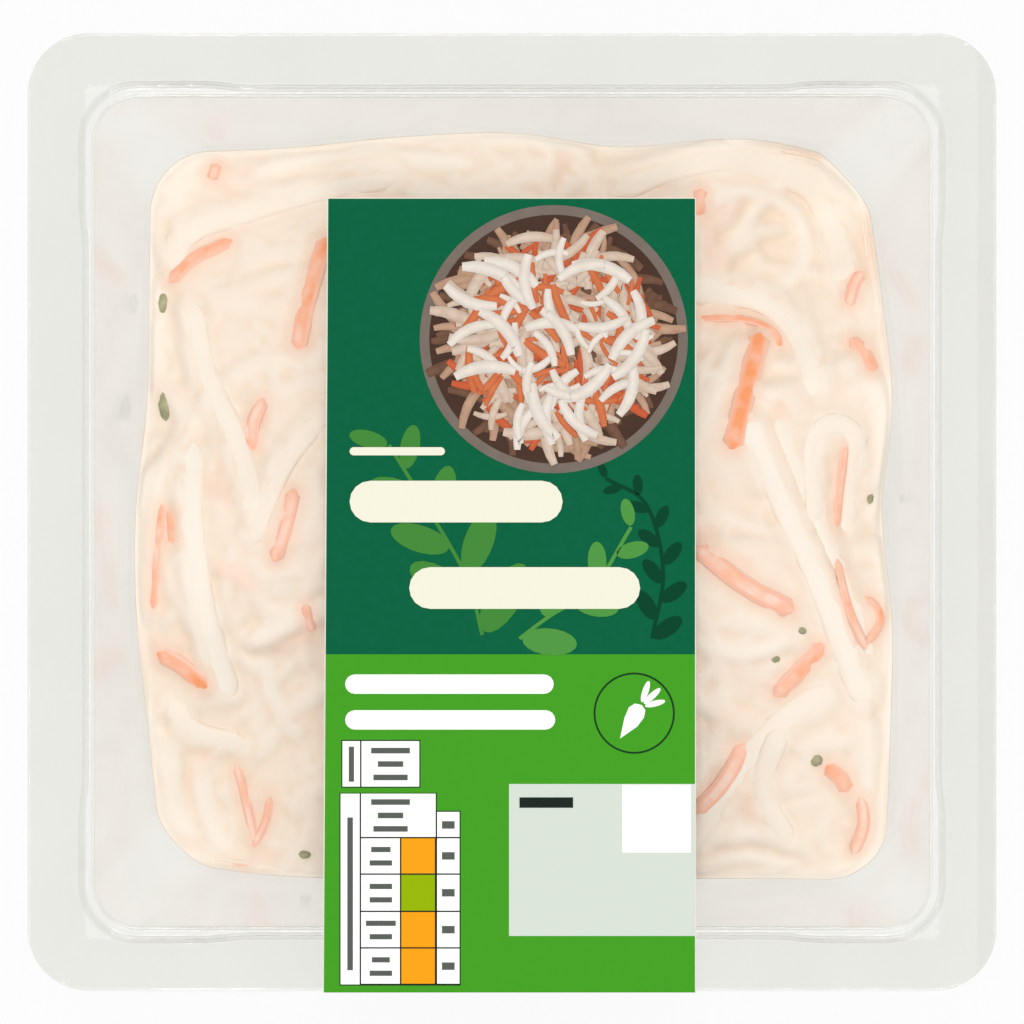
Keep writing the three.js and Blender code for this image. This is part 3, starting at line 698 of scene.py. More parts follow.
top_edge = on_wall(contact_height(wall_low[:, 0], wall_low[:, 1]), np.zeros(len(wall_low)))
for scale in (1 - np.linspace(1, 0, TOP_ROWS) ** 1.35)[1:-1]:
    x, y = top_edge[:, 0] * scale, top_edge[:, 1] * scale
    edge_blend = np.clip((1 - scale) / EDGE_BLEND, 0, 1)
    z = sampled(coat_soft, x, y) * edge_blend + top_edge[:, 2] * (1 - edge_blend)
    # Painted light: a paler band where the coat meets the wall, with no painted crease shade in
    # it, set against the shade of the heap's steep edge
    edge = np.exp(-((1 - scale) * MAP_REACH / EDGE_LIGHT_WIDTH) ** 2)
    add_coat_ring(np.column_stack([x, y, z]), sampled(painted_crease_shade_map, x, y) * (1 - edge),
                  np.clip(sampled(pale_soft, x, y) + EDGE_PAINTED_LIGHT * edge, 0, 1),
                  sampled(carrot_soft, x, y))
foot = foot_sections(WALL_BITE, steps=8)
for share in np.linspace(0, 1, WALL_ROWS)[:-1]:
    height = top_edge[:, 2] * (1 - share) + foot[-1][4] * share
    flush = on_wall(height, np.zeros(len(height)))
    hollow = hollows(flush) * min(1, 6 * share)
    # The hollows against the wall get painted shade as well
    add_coat_ring(on_wall(height, WALL_BITE - WALL_HOLLOW * hollow), hollow * HOLLOW_SHADE,
                  np.full(len(height), COAT_PALE * (1 + max(0, 1 - 8 * share))),
                  carrot_patches(flush))
foot_run = [foot[-1]]
for start, end in zip(foot[::-1], foot[-2::-1]):
    pieces = max(1, int(np.hypot(*(end - start)[[0, 4]]) / FOOT_ROW))
    for share in np.linspace(0, 1, pieces + 1)[1:]:
        foot_run.append(start * (1 - share) + end * share)
panel = foot_run[-1]
for scale in np.linspace(1, 0, PANEL_ROWS)[1:-1]:
    foot_run.append(np.array([*panel[:3] * scale, 0, panel[4]]))
for section in foot_run:
    points = coat_ring(section)
    on_panel = (np.abs(points[:, :2]).max(axis=1) < panel[0] - 1)
    hollow = hollows(points)
    points[:, 2] += PANEL_HOLLOW * hollow * on_panel
    # The hollows against the base get painted shade as well
    add_coat_ring(points, hollow * HOLLOW_SHADE, np.full(len(points), COAT_PALE),
                  carrot_patches(points))
top_middle = (0, 0, sampled(coat_soft, np.zeros(1), np.zeros(1))[0])
foot_middle = (0, 0, panel[4] + PANEL_HOLLOW * hollows(np.array([[0, 0, panel[4]]]))[0])
coat_points, coat_faces = closed_loft(coat_rings, top_middle, foot_middle)

DRESSING_PATCH, DRESSING_DROP = 6.25, 1.1


def cream(tree, place):
    """The dressing's own cream, faintly uneven. Cabbage that is wet with it has it as well."""
    patches = add(tree, "ShaderNodeTexNoise", {"Scale": 1000 / DRESSING_PATCH, "Detail": 4.0},
                  {"Vector": place.outputs["Object"]})
    return add(tree, "ShaderNodeMix", {"data_type": "RGBA", 6: linear("f8ebdb"),
                                       7: linear("f5e0ce")}, {0: patches.outputs["Fac"]})


def creamy_dressing():
    """Mayonnaise dressing: an opaque cream emulsion, soft and satin, painted a little tanner as
    shade in the creases between shreds, paler over cabbage and flushed with orange over carrot."""
    material, tree = new_material("creamy_dressing")
    place = add(tree, "ShaderNodeTexCoord")
    crease_shade = add(tree, "ShaderNodeAttribute", {"attribute_name": "crease_shade"})
    pale = add(tree, "ShaderNodeAttribute", {"attribute_name": "over_cabbage"})
    near = add(tree, "ShaderNodeAttribute", {"attribute_name": "over_carrot"})
    paler = add(tree, "ShaderNodeMix", {"data_type": "RGBA", 7: linear("f8eddf")},
                {0: pale.outputs["Fac"], 6: cream(tree, place).outputs[2]})
    # Painted shade: tanner colour in the creases and hollows
    crease_shaded = add(tree, "ShaderNodeMix", {"data_type": "RGBA", 7: linear("f3dcc4")},
                  {0: crease_shade.outputs["Fac"], 6: paler.outputs[2]})
    flushed = add(tree, "ShaderNodeMix", {"data_type": "RGBA", 7: linear("f9bfa0")},
                  {0: near.outputs["Fac"], 6: crease_shaded.outputs[2]})
    drops = add(tree, "ShaderNodeTexNoise", {"Scale": 1000 / DRESSING_DROP, "Detail": 1.0},
                {"Vector": place.outputs["Object"]})
    finish_satin(tree, flushed, drops, 0.25, 0.2, 0.5, 0.25)
    return material


dressing = mesh_object("dressing", coat_points, coat_faces, [creamy_dressing()])
for field_name, field_rings in coat_fields.items():
    store(dressing, field_name, np.concatenate([*field_rings, [0, 0]]))
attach(dressing, "root")
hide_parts("coleslaw")

# ---------------------------------------------------------------------------------------------
# The cabbage shreds: white cabbage cut into long flat strips 2 to 5 mm wide, limp from the
# dressing. Each is swept along its line by Geometry Nodes, its flat side away from the heap.
# ---------------------------------------------------------------------------------------------
def new_node_tree(name, inputs):
    """An empty Geometry Nodes tree and its input node, with inputs besides the geometry."""
    tree = bpy.data.node_groups.new(name, "GeometryNodeTree")
    for socket_name, kind in [("Geometry", "Geometry"), *inputs]:
        tree.interface.new_socket(socket_name, in_out="INPUT", socket_type="NodeSocket" + kind)
    tree.interface.new_socket("Geometry", in_out="OUTPUT", socket_type="NodeSocketGeometry")
    return tree, add(tree, "NodeGroupInput")


def finish_tree(tree, made, material):
    """Ends a tree: what it made becomes real mesh in its material."""
    real = add(tree, "GeometryNodeRealizeInstances", links={"Geometry": made.outputs[0]})
    coloured = add(tree, "GeometryNodeSetMaterial",
                   links={"Geometry": real.outputs[0], "Material": material})
    add(tree, "NodeGroupOutput", links={"Geometry": coloured.outputs[0]})


def shred_sweep():
    """A node tree that sweeps a flat rounded section along each line of its input, as wide as
    the line's half_width and facing along its face_out, and roughens it a little. It stores how
    far each point is from the middle of the shred's face as across."""
    tree, given = new_node_tree("shred_sweep", [
        ("Flatness", "Float"), ("Sides", "Int"), ("Unevenness", "Float"), ("Grain", "Float"),
        ("Seed", "Int"), ("Material", "Material")])
    width = add(tree, "GeometryNodeInputNamedAttribute",
                {"data_type": "FLOAT", "Name": "half_width"})
    outwards = add(tree, "GeometryNodeInputNamedAttribute",
                   {"data_type": "FLOAT_VECTOR", "Name": "face_out"})
    lines = add(tree, "GeometryNodeMeshToCurve", links={"Mesh": given.outputs["Geometry"]})
    faced = add(tree, "GeometryNodeSetCurveNormal", {"mode": "FREE"},
                {"Curve": lines.outputs[0], "Normal": outwards.outputs["Attribute"]})
    section = add(tree, "GeometryNodeCurvePrimitiveCircle", {"Radius": 1.0},
                  {"Resolution": given.outputs["Sides"]})
    where = add(tree, "GeometryNodeInputPosition")
    split = add(tree, "ShaderNodeSeparateXYZ", links={"Vector": where.outputs[0]})
    aside = add(tree, "ShaderNodeMath", {"operation": "ABSOLUTE"}, {0: split.outputs["Y"]})
    marked = add(tree, "GeometryNodeStoreNamedAttribute",
                 {"data_type": "FLOAT", "domain": "POINT", "Name": "across"},
                 {"Geometry": section.outputs["Curve"], "Value": aside.outputs[0]})
    flat = add(tree, "ShaderNodeCombineXYZ", {"Y": 1.0, "Z": 1.0},
               {"X": given.outputs["Flatness"]})
    pressed = add(tree, "GeometryNodeTransform",
                  links={"Geometry": marked.outputs[0], "Scale": flat.outputs[0]})
    swept = add(tree, "GeometryNodeCurveToMesh", {"Fill Caps": True},
                {"Curve": faced.outputs[0], "Profile Curve": pressed.outputs[0],
                 "Scale": width.outputs["Attribute"]})
    noise = add(tree, "ShaderNodeTexNoise", {"noise_dimensions": "4D", "Detail": 1.0},
                {"Scale": given.outputs["Grain"], "W": given.outputs["Seed"]})
    centred = add(tree, "ShaderNodeVectorMath", {"operation": "SUBTRACT", 1: (0.5, 0.5, 0.5)},
                  {0: noise.outputs["Color"]})
    shift = add(tree, "ShaderNodeVectorMath", {"operation": "SCALE"},
                {0: centred.outputs[0], "Scale": given.outputs["Unevenness"]})
    uneven = add(tree, "GeometryNodeSetPosition",
                 links={"Geometry": swept.outputs[0], "Offset": shift.outputs[0]})
    smooth = add(tree, "GeometryNodeSetShadeSmooth", links={"Geometry": uneven.outputs[0]})
    finish_tree(tree, smooth, given.outputs["Material"])
    return tree


def grown(name, seed_object, tree, inputs):
    """Runs a Geometry Nodes tree on an object and keeps the result as a plain mesh object."""
    modifier = seed_object.modifiers.new("grow", "NODES")
    modifier.node_group = tree
    sockets = {item.name: item.identifier for item in tree.interface.items_tree
               if item.in_out == "INPUT"}
    for key, value in inputs.items():
        modifier[sockets[key]] = value
    evaluated = seed_object.evaluated_get(bpy.context.evaluated_depsgraph_get())
    mesh = bpy.data.meshes.new_from_object(evaluated)
    mesh.name = name
    made = bpy.data.objects.new(name, mesh)
    scene.collection.objects.link(made)
    bpy.data.objects.remove(seed_object)
    return made


def line_object(name, lines):
    """Loose lines as a mesh of points and edges. Each line is its points in millimetres, their
    half widths, their outward directions and how far the dressing hides it."""
    edges, start = [], 0
    for line in lines:
        edges += [(i, i + 1) for i in range(start, start + len(line[0]) - 1)]
        start += len(line[0])
    made = mesh_object(name, np.concatenate([line[0] for line in lines]), [], [], edges=edges)
    store(made, "half_width", np.concatenate([line[1] for line in lines]) * MM)
    store(made, "milk", np.concatenate([np.full(len(line[0]), line[3]) for line in lines]))
    store(made, "face_out", np.concatenate([line[2] for line in lines]))
    return made


def facing_up(points, half, milk):
    """A line laid on the heap, with the heap's own slope as its outward direction."""
    x, y = points[:, 0], points[:, 1]
    slope_x = (heap_height(x + 1, y) - heap_height(x - 1, y)) / 2
    slope_y = (heap_height(x, y + 1) - heap_height(x, y - 1)) / 2
    normal = np.column_stack([-slope_x, -slope_y, np.ones_like(x)])
    return points, half, normal / np.linalg.norm(normal, axis=1)[:, None], milk


wall_lengths = np.linalg.norm(np.roll(wall_low, -1, axis=0) - wall_low, axis=1)
wall_gone = np.concatenate([[0], np.cumsum(wall_lengths)])
WALL_SHRED_LOW, WALL_SHRED_HIGH = 6.5, 25
PANEL_SHRED_POINTS = 20


def wall_shred(around, reach, start_height, end_height, bow, width, depth):
    """A line pressed against the clear wall, from one height to another."""
    share = np.linspace(0, 1, 24)
    place = ((around + reach * share) % 1) * wall_gone[-1]
    side = np.clip(np.searchsorted(wall_gone, place, side="right") - 1, 0, len(wall_low) - 1)
    part = ((place - wall_gone[side]) / wall_lengths[side])[:, None]
    following = (side + 1) % len(wall_low)
    low = wall_low[side] * (1 - part) + wall_low[following] * part
    high = wall_high[side] * (1 - part) + wall_high[following] * part
    out = wall_out[side] * (1 - part) + wall_out[following] * part
    height = start_height + (end_height - start_height) * share + bow * np.sin(math.pi * share)
    height = np.minimum(height, contact_height(low[:, 0], low[:, 1]) - width / 2 - 0.5)
    rise = (height / LEDGE_HEIGHT)[:, None]
    points = low * (1 - rise) + high * rise + out * depth
    from_end = np.minimum(share, 1 - share) * reach * wall_gone[-1]
    half = tapered(width, from_end, width / 2)
    return points, half, out / np.linalg.norm(out, axis=1)[:, None], drawn.uniform(0.3, 0.9)


def wall_shreds(count, low_width, high_width, low_reach, high_reach):
    """Lines spread round the wall, their reach given as a share of the way round it."""
    for i in range(count):
        width = drawn.uniform(low_width, high_width)
        yield wall_shred(i / count + drawn.uniform(0, 0.5) / count,
                         drawn.uniform(low_reach, high_reach),
                         drawn.uniform(WALL_SHRED_LOW, WALL_SHRED_HIGH),
                         drawn.uniform(WALL_SHRED_LOW, WALL_SHRED_HIGH),
                         drawn.uniform(-3, 3), width,
                         WALL_BITE + 0.02 - width * SHRED_FLATNESS / 2 - drawn.uniform(0, 0.25))


def panel_shreds(cells, spread, low_width, high_width):
    """Lines pressed against the raised panel, seen through the base."""
    floor = PANEL_RISE + WALL_THICKNESS
    for line in scattered(cells, spread, 6, 13, 5):
        plan = bend(line, PANEL_SHRED_POINTS)
        width = drawn.uniform(low_width, high_width)
        height = floor + width * SHRED_FLATNESS / 2 - WALL_BITE + drawn.uniform(0, 0.2)
        points = np.column_stack([plan, np.full(PANEL_SHRED_POINTS, height)])
        share = np.linspace(0, 1, PANEL_SHRED_POINTS)
        half = width / 2 * np.sqrt(np.clip(np.minimum(share, 1 - share) * 8, 0.05, 1))
        down = np.tile([0.0, 0.0, -1.0], (PANEL_SHRED_POINTS, 1))
        yield points, half, down, drawn.uniform(0.3, 0.9)


CABBAGE_VEIN = 2.9


def dressed_cabbage():
    """White cabbage wetted with dressing. Its edges take the dressing's own cream, its face is
    paler where less dressing hides it, and the veins of the leaf rib it faintly."""
    material, tree = new_material("dressed_cabbage")
    place = add(tree, "ShaderNodeTexCoord")
    across = add(tree, "ShaderNodeAttribute", {"attribute_name": "across"})
    milk = add(tree, "ShaderNodeAttribute", {"attribute_name": "milk"})
    face = add(tree, "ShaderNodeMapRange", {"From Min": 0.3, "From Max": 0.95, "To Min": 1.0,
                                            "To Max": 0.5, "interpolation_type": "SMOOTHSTEP"},
               {"Value": across.outputs["Fac"]})
    hidden = add(tree, "ShaderNodeMath", {"operation": "MULTIPLY_ADD", 1: -0.9, 2: 1.0},
                 {0: milk.outputs["Fac"]})
    shown = add(tree, "ShaderNodeMath", {"operation": "MULTIPLY"},
                {0: face.outputs[0], 1: hidden.outputs[0]})
    flesh = add(tree, "ShaderNodeMix", {"data_type": "RGBA", 7: linear("f8efe1")},
                {0: shown.outputs[0], 6: cream(tree, place).outputs[2]})
    veins = add(tree, "ShaderNodeTexNoise", {"Scale": 1000 / CABBAGE_VEIN, "Detail": 2.0},
                {"Vector": place.outputs["Object"]})
    finish_satin(tree, flesh, veins, 0.2, 0.2, 0.5, 0.25)
    return material


shred_tree = shred_sweep()
cabbage_all = [facing_up(*laid) for laid in cabbage_lines]
cabbage_all += list(wall_shreds(60, 2.2, 4.4, 0.03, 0.085))
cabbage_all += list(panel_shreds(6, 33, 2.2, 4.2))
cabbage = grown("cabbage_shreds", line_object("cabbage_seed", cabbage_all), shred_tree,
                {"Flatness": SHRED_FLATNESS, "Sides": 14, "Unevenness": 0.16 * MM,
                 "Grain": 220.0, "Seed": 3, "Material": dressed_cabbage()})
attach(cabbage, "root")
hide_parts("coleslaw")

# ---------------------------------------------------------------------------------------------
# The carrot shreds: sticks 1 to 3 mm wide off the same cutter. Bare ones are bright orange down
# the middle. Dressed ones are milky there, and the orange shows along their edges.
# ---------------------------------------------------------------------------------------------
CARROT_SMEAR = 3.3


def dressed_carrot():
    """Raw carrot under a film of dressing of uneven thickness."""
    material, tree = new_material("dressed_carrot")
    place = add(tree, "ShaderNodeTexCoord")
    across = add(tree, "ShaderNodeAttribute", {"attribute_name": "across"})
    milk = add(tree, "ShaderNodeAttribute", {"attribute_name": "milk"})
    smear = add(tree, "ShaderNodeTexNoise", {"Scale": 1000 / CARROT_SMEAR, "Detail": 2.0},
                {"Vector": place.outputs["Object"]})
    rim = add(tree, "ShaderNodeMapRange", {"From Min": 0.25, "From Max": 0.8,
                                           "interpolation_type": "SMOOTHSTEP"},
              {"Value": across.outputs["Fac"]})
    bare = add(tree, "ShaderNodeMix", {"data_type": "RGBA", 6: linear("fb995e"),
                                       7: linear("fbb896")}, {0: rim.outputs[0]})
    milky = add(tree, "ShaderNodeMix", {"data_type": "RGBA", 6: linear("fad6c3"),
                                        7: linear("fbb191")}, {0: rim.outputs[0]})
    uneven = add(tree, "ShaderNodeMath", {"operation": "MULTIPLY_ADD", 1: 2.0, 2: -1.0},
                 {0: smear.outputs["Fac"]})
    hidden = add(tree, "ShaderNodeMath", {"operation": "ADD", "use_clamp": True},
                 {0: milk.outputs["Fac"], 1: uneven.outputs[0]})
    flesh = add(tree, "ShaderNodeMix", {"data_type": "RGBA"},
                {0: hidden.outputs[0], 6: bare.outputs[2], 7: milky.outputs[2]})
    side = add(tree, "ShaderNodeMapRange", {"From Min": 0.6, "From Max": 1.0, "To Max": 0.75,
                                            "interpolation_type": "SMOOTHSTEP"},
               {"Value": across.outputs["Fac"]})
    wetted = add(tree, "ShaderNodeMix", {"data_type": "RGBA", 7: linear("f9d6c3")},
                 {0: side.outputs[0], 6: flesh.outputs[2]})
    finish_satin(tree, wetted, smear, 0.2, 0.15, 0.4, 0.35)
    return material


carrot_all = [facing_up(*laid) for laid in carrot_lines]
carrot_all += list(wall_shreds(22, 1.6, 2.8, 0.015, 0.04))
carrot_all += list(panel_shreds(3, 30, 1.6, 2.6))
carrot = grown("carrot_shreds", line_object("carrot_seed", carrot_all), shred_tree,
               {"Flatness": SHRED_FLATNESS, "Sides": 14, "Unevenness": 0.09 * MM,
                "Grain": 300.0, "Seed": 8, "Material": dressed_carrot()})
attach(carrot, "root")
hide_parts("coleslaw")

# ---------------------------------------------------------------------------------------------
# The herb flecks: chopped green leaf, 1 to 4 mm long, half sunk in the dressing. Geometry
# Nodes set one crumpled chip at each place.
# ---------------------------------------------------------------------------------------------
def herb_chips():
    """A node tree that sets a crumpled chip of the point's own chip_size on each point."""
    tree, given = new_node_tree("herb_chips", [
        ("Crumple", "Float"), ("Seed", "Int"), ("Material", "Material")])
    size = add(tree, "GeometryNodeInputNamedAttribute",
               {"data_type": "FLOAT_VECTOR", "Name": "chip_size"})
    chip = add(tree, "GeometryNodeMeshIcoSphere", {"Radius": 0.5, "Subdivisions": 4})
    noise = add(tree, "ShaderNodeTexNoise", {"noise_dimensions": "4D", "Scale": 3.0},
                {"W": given.outputs["Seed"]})
    centred = add(tree, "ShaderNodeVectorMath", {"operation": "SUBTRACT", 1: (0.5, 0.5, 0.5)},
                  {0: noise.outputs["Color"]})
    shift = add(tree, "ShaderNodeVectorMath", {"operation": "SCALE"},
                {0: centred.outputs[0], "Scale": given.outputs["Crumple"]})
    crumpled = add(tree, "GeometryNodeSetPosition",
                   links={"Geometry": chip.outputs["Mesh"], "Offset": shift.outputs[0]})
    set_down = add(tree, "GeometryNodeInstanceOnPoints", {},
                   {"Points": given.outputs["Geometry"], "Instance": crumpled.outputs[0],
                    "Scale": size.outputs["Attribute"]})
    smooth = add(tree, "GeometryNodeSetShadeSmooth", links={"Geometry": set_down.outputs[0]})
    finish_tree(tree, smooth, given.outputs["Material"])
    return tree


HERB_SMEAR = 1.4


def chopped_herb():
    """Chopped parsley leaf: dull olive green, smeared with dressing."""
    material, tree = new_material("chopped_herb")
    place = add(tree, "ShaderNodeTexCoord")
    smear = add(tree, "ShaderNodeTexNoise", {"Scale": 1000 / HERB_SMEAR, "Detail": 2.0},
                {"Vector": place.outputs["Object"]})
    leaf = add(tree, "ShaderNodeMix", {"data_type": "RGBA", 6: linear("57603a"),
                                       7: linear("c4bc94")}, {0: smear.outputs["Fac"]})
    finish_satin(tree, leaf, smear, 0.4, 0.2, 0.5, 0.3)
    return material


FLECK_THICKNESS, FLECK_LIFT = 0.6, 0.02
herb_points, herb_sizes = [], []
for x, y, width, length in [
        (-48.0, 28.6, 1.3, 2.9), (-47.4, 14.6, 2.3, 4.1), (-28.5, -47.0, 1.6, 1.2),
        (49.0, 2.0, 0.9, 1.8), (41.5, -33.9, 1.7, 1.7), (39.4, -16.2, 1.2, 1.0),
        (35.8, -20.0, 1.2, 1.0), (12.0, 30.0, 1.5, 2.0), (-8.0, -20.0, 1.2, 2.2),
        (5.0, 6.0, 1.6, 1.3), (-14.0, 33.0, 1.3, 1.9), (16.0, -34.0, 1.7, 1.4),
]:
    on_coat = sampled(coat_soft, np.array([x]), np.array([y]))[0]
    herb_points.append((x, y, on_coat + FLECK_LIFT))
    herb_sizes.append((width, length, FLECK_THICKNESS))
herb_seed = mesh_object("herb_seed", herb_points, [], [])
store(herb_seed, "chip_size", np.array(herb_sizes) * MM)
herb = grown("herb_flecks", herb_seed, herb_chips(),
             {"Crumple": 0.35, "Seed": 5, "Material": chopped_herb()})
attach(herb, "root")
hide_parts("coleslaw")

# ---------------------------------------------------------------------------------------------
# The lid film. Clear peelable film, 0.1 mm thick, welded flat to the rim and drawn tight over
# the mouth, where it sags by 0.2 mm.
# ---------------------------------------------------------------------------------------------
FILM_THICKNESS, FILM_SAG = 0.1, 0.2
FILM_LIFT = 0.05
WELD_EDGE, WELD_HAZE, WELD_FADE = 62.4, 0.6, 0.3
# Close rings over the weld, and one just inside the edge that keeps its shading flat
FILM_RINGS = (*np.linspace(0, 0.875, 28)[1:], *np.linspace(0.878, 0.9995, 26), 1)


def film_height(x, y):
    """How the film dips inside the mouth, deepest in the middle."""
    inside = np.clip(1 - np.maximum(np.abs(x) / (MOUTH_WIDTH / 2), np.abs(y) / (MOUTH_DEPTH / 2)),
                     0, 1)
    return RIM_TOP + FILM_LIFT - FILM_SAG * np.sqrt(inside)


film_plan = outline(RIM_WIDTH / 2, RIM_DEPTH / 2, RIM_CORNER, 0, TUB_SIDE_STEPS, TUB_CORNER_STEPS)
film_top = [np.column_stack([film_plan * scale,
                             film_height(*(film_plan * scale).T) + FILM_THICKNESS])
            for scale in FILM_RINGS]
film_bottom = [ring - [0, 0, FILM_THICKNESS] for ring in film_top[::-1]]
middle_height = film_height(0, 0)
film_points, film_faces = closed_loft([*film_top, *film_bottom],
                                      (0, 0, middle_height + FILM_THICKNESS),
                                      (0, 0, middle_height))
lid_film_sheet = clear_plastic("clear_lid_film", "fefefe", "f8f8f7", 0.03, "f0f0ee", 0.0, 16.0)
film = mesh_object("lid_film_sheet", film_points, film_faces, [lid_film_sheet])
from_mouth = np.abs(film_points[:, :2]).max(axis=1) - MOUTH_WIDTH / 2
weld = np.clip(from_mouth / WELD_FADE, 0, 1)
tab = np.clip((film_points[:, 0] - WELD_EDGE) / WELD_FADE, 0, 1)
store(film, "bend", WELD_HAZE * weld + (1 - WELD_HAZE) * tab)
store(film, "cloudy", weld)
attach(film, "root")
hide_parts("lid_film")

# ---------------------------------------------------------------------------------------------
# The label. A strip of white coated paper, 50 mm wide, stuck over the film from behind the
# middle to the front edge, folded sharply over the rim and down on to the front wall. Its
# flat colour fields are printed, with a white margin 0.14 mm wide.
# ---------------------------------------------------------------------------------------------
LABEL_BACK, LABEL_RIGHT = 42.2, 24.7
LABEL_LEFT_BACK, LABEL_LEFT_FRONT = 24.8, 25.4
LABEL_THICKNESS, LABEL_GAP = 0.15, 0.08
LABEL_TOUCH_HEIGHT, LABEL_END_HEIGHT = 13.0, 5.0
LABEL_FOLD_EASE = 1.5
FILM_TOP = RIM_TOP + FILM_LIFT + FILM_THICKNESS
LABEL_FACE = FILM_TOP + LABEL_GAP + LABEL_THICKNESS
INK_STEP = 0.03
PRINT_MARGIN = 0.14
GREEN_MEETING = -19.1


def label_path(back):
    """Points of the glued face in the YZ plane, each with the angle that faces outwards."""
    rim_edge, rim_under = RIM_DEPTH / 2, RIM_TOP - RIM_THICKNESS

    def wall_face(height):
        return -wall_section(height, WALL_THICKNESS + LABEL_GAP)[1]

    touch_y = wall_face(LABEL_TOUCH_HEIGHT)
    slant = math.atan2(touch_y + rim_edge, rim_under - LABEL_TOUCH_HEIGHT)

    def round_edge(height, angle):
        return (-rim_edge + LABEL_GAP * math.cos(angle), height + LABEL_GAP * math.sin(angle),
                angle)

    path = [(y, FILM_TOP + LABEL_GAP, math.pi / 2) for y in np.linspace(back, 1 - rim_edge, 12)]
    path += [round_edge(FILM_TOP, a) for a in np.linspace(math.pi / 2, math.pi, 6)]
    path += [round_edge(rim_under, a) for a in np.linspace(math.pi, math.pi + slant, 4)]
    for height in np.linspace(rim_under, LABEL_TOUCH_HEIGHT + LABEL_FOLD_EASE, 10)[1:]:
        share = (rim_under - height) / (rim_under - LABEL_TOUCH_HEIGHT)
        path.append((-rim_edge + (touch_y + rim_edge) * share, height, math.pi + slant))
    path.append((touch_y, LABEL_TOUCH_HEIGHT, math.pi + (slant + WALL_TILT) / 2))
    path += [(wall_face(z), z, math.pi + WALL_TILT)
             for z in np.linspace(LABEL_TOUCH_HEIGHT - LABEL_FOLD_EASE, LABEL_END_HEIGHT, 5)]
    return path


def label_left(y):
    to_front = (LABEL_BACK - y) / (LABEL_BACK + RIM_DEPTH / 2)
    return -(LABEL_LEFT_BACK + (LABEL_LEFT_FRONT - LABEL_LEFT_BACK) * to_front)


def label_layer(path, margin, below, above):
    """A layer of the label between two distances from its glued face, along a path."""
    rings = []
    for y, z, angle in path:
        left, right = label_left(y) + margin, LABEL_RIGHT - margin
        cos, sin = math.cos(angle), math.sin(angle)
        rings.append(np.array([(right, y + below * cos, z + below * sin),
                               (left, y + below * cos, z + below * sin),
                               (left, y + above * cos, z + above * sin),
                               (right, y + above * cos, z + above * sin)]))
    return closed_loft(rings, rings[0].mean(axis=0), rings[-1].mean(axis=0))


PAPER_FIBRE = 0.4


def coated_paper(name, hex_colour, second_hex, patch_mm):
    """Coated label paper with a flat printed ink, faintly uneven. Paper fibres are too fine to
    show, so they are drawn 0.4 mm apart."""
    material, tree = new_material(name)
    place = add(tree, "ShaderNodeTexCoord")
    patches = add(tree, "ShaderNodeTexNoise", {"Scale": 1000.0 / patch_mm, "Detail": 3.0},
                  {"Vector": place.outputs["Object"]})
    ink = add(tree, "ShaderNodeMix", {"data_type": "RGBA", 6: linear(hex_colour),
                                      7: linear(second_hex)}, {0: patches.outputs["Fac"]})
    fibre = add(tree, "ShaderNodeTexNoise", {"Scale": 1000 / PAPER_FIBRE, "Detail": 2.0},
                {"Vector": place.outputs["Object"]})
    finish_satin(tree, ink, fibre, 0.15, 0.03, 0.75, 0.05)
    return material


def printed(name, shapes, material):
    """Flat shapes as one piece of ink. Each is its outline, counterclockwise in plan, and the
    layer that it is printed in."""
    points, faces = [], []
    for outline_points, layer in shapes:
        count, start = len(outline_points), len(points)
        low = LABEL_FACE + INK_STEP * layer
        points += [(x, y, low) for x, y in outline_points]
        points += [(x, y, low + INK_STEP) for x, y in outline_points]
        faces.append(tuple(range(start + count, start + 2 * count)))
        faces.append(tuple(range(start + count - 1, start - 1, -1)))
        for i in range(count):
            following = (i + 1) % count
            faces.append((start + i, start + following, start + count + following,
                          start + count + i))
    piece = mesh_object(name, points, faces, [material], smooth=False)
    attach(piece, "root")
    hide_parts("label")
    return piece


def disc(x, y, radius_x, radius_y, steps=48, turn=0.0):
    """A round or oval outline."""
    angles = np.arange(steps) * math.tau / steps
    along, across = radius_x * np.cos(angles), radius_y * np.sin(angles)
    cos, sin = math.cos(turn), math.sin(turn)
    return np.column_stack([x + along * cos - across * sin, y + along * sin + across * cos])


def bar(left, right, low, high):
    """A bar's outline with round ends."""
    radius = (high - low) / 2
    angles = np.linspace(-math.pi / 2, math.pi / 2, 9)
    right_end = np.column_stack([right - radius + radius * np.cos(angles),
                                 low + radius + radius * np.sin(angles)])
    left_end = np.column_stack([left + radius - radius * np.cos(angles),
                                low + radius - radius * np.sin(angles)])
    return np.concatenate([right_end, left_end])


strip_points, strip_faces = label_layer(label_path(LABEL_BACK), 0, 0, LABEL_THICKNESS)
label = mesh_object("label_strip", strip_points, strip_faces,
                    [coated_paper("white_label_paper", "e2ddd0", "dcd6c8", 6.0)], smooth=False)
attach(label, "root")
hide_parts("label")

print_right = LABEL_RIGHT - PRINT_MARGIN
dark_field = [(label_left(GREEN_MEETING) + PRINT_MARGIN, GREEN_MEETING),
              (print_right, GREEN_MEETING), (print_right, LABEL_BACK - PRINT_MARGIN),
              (label_left(LABEL_BACK) + PRINT_MARGIN, LABEL_BACK - PRINT_MARGIN)]
printed("label_dark_field", [(dark_field, 0)],
        coated_paper("dark_green_ink", "005836", "0d5e40", 1.2))
light_points, light_faces = label_layer(label_path(GREEN_MEETING), PRINT_MARGIN,
                                        LABEL_THICKNESS, LABEL_THICKNESS + INK_STEP)
light_field = mesh_object("label_light_field", light_points, light_faces,
                          [coated_paper("light_green_ink", "419722", "3f9420", 2.0)],
                          smooth=False)
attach(light_field, "root")
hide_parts("label")

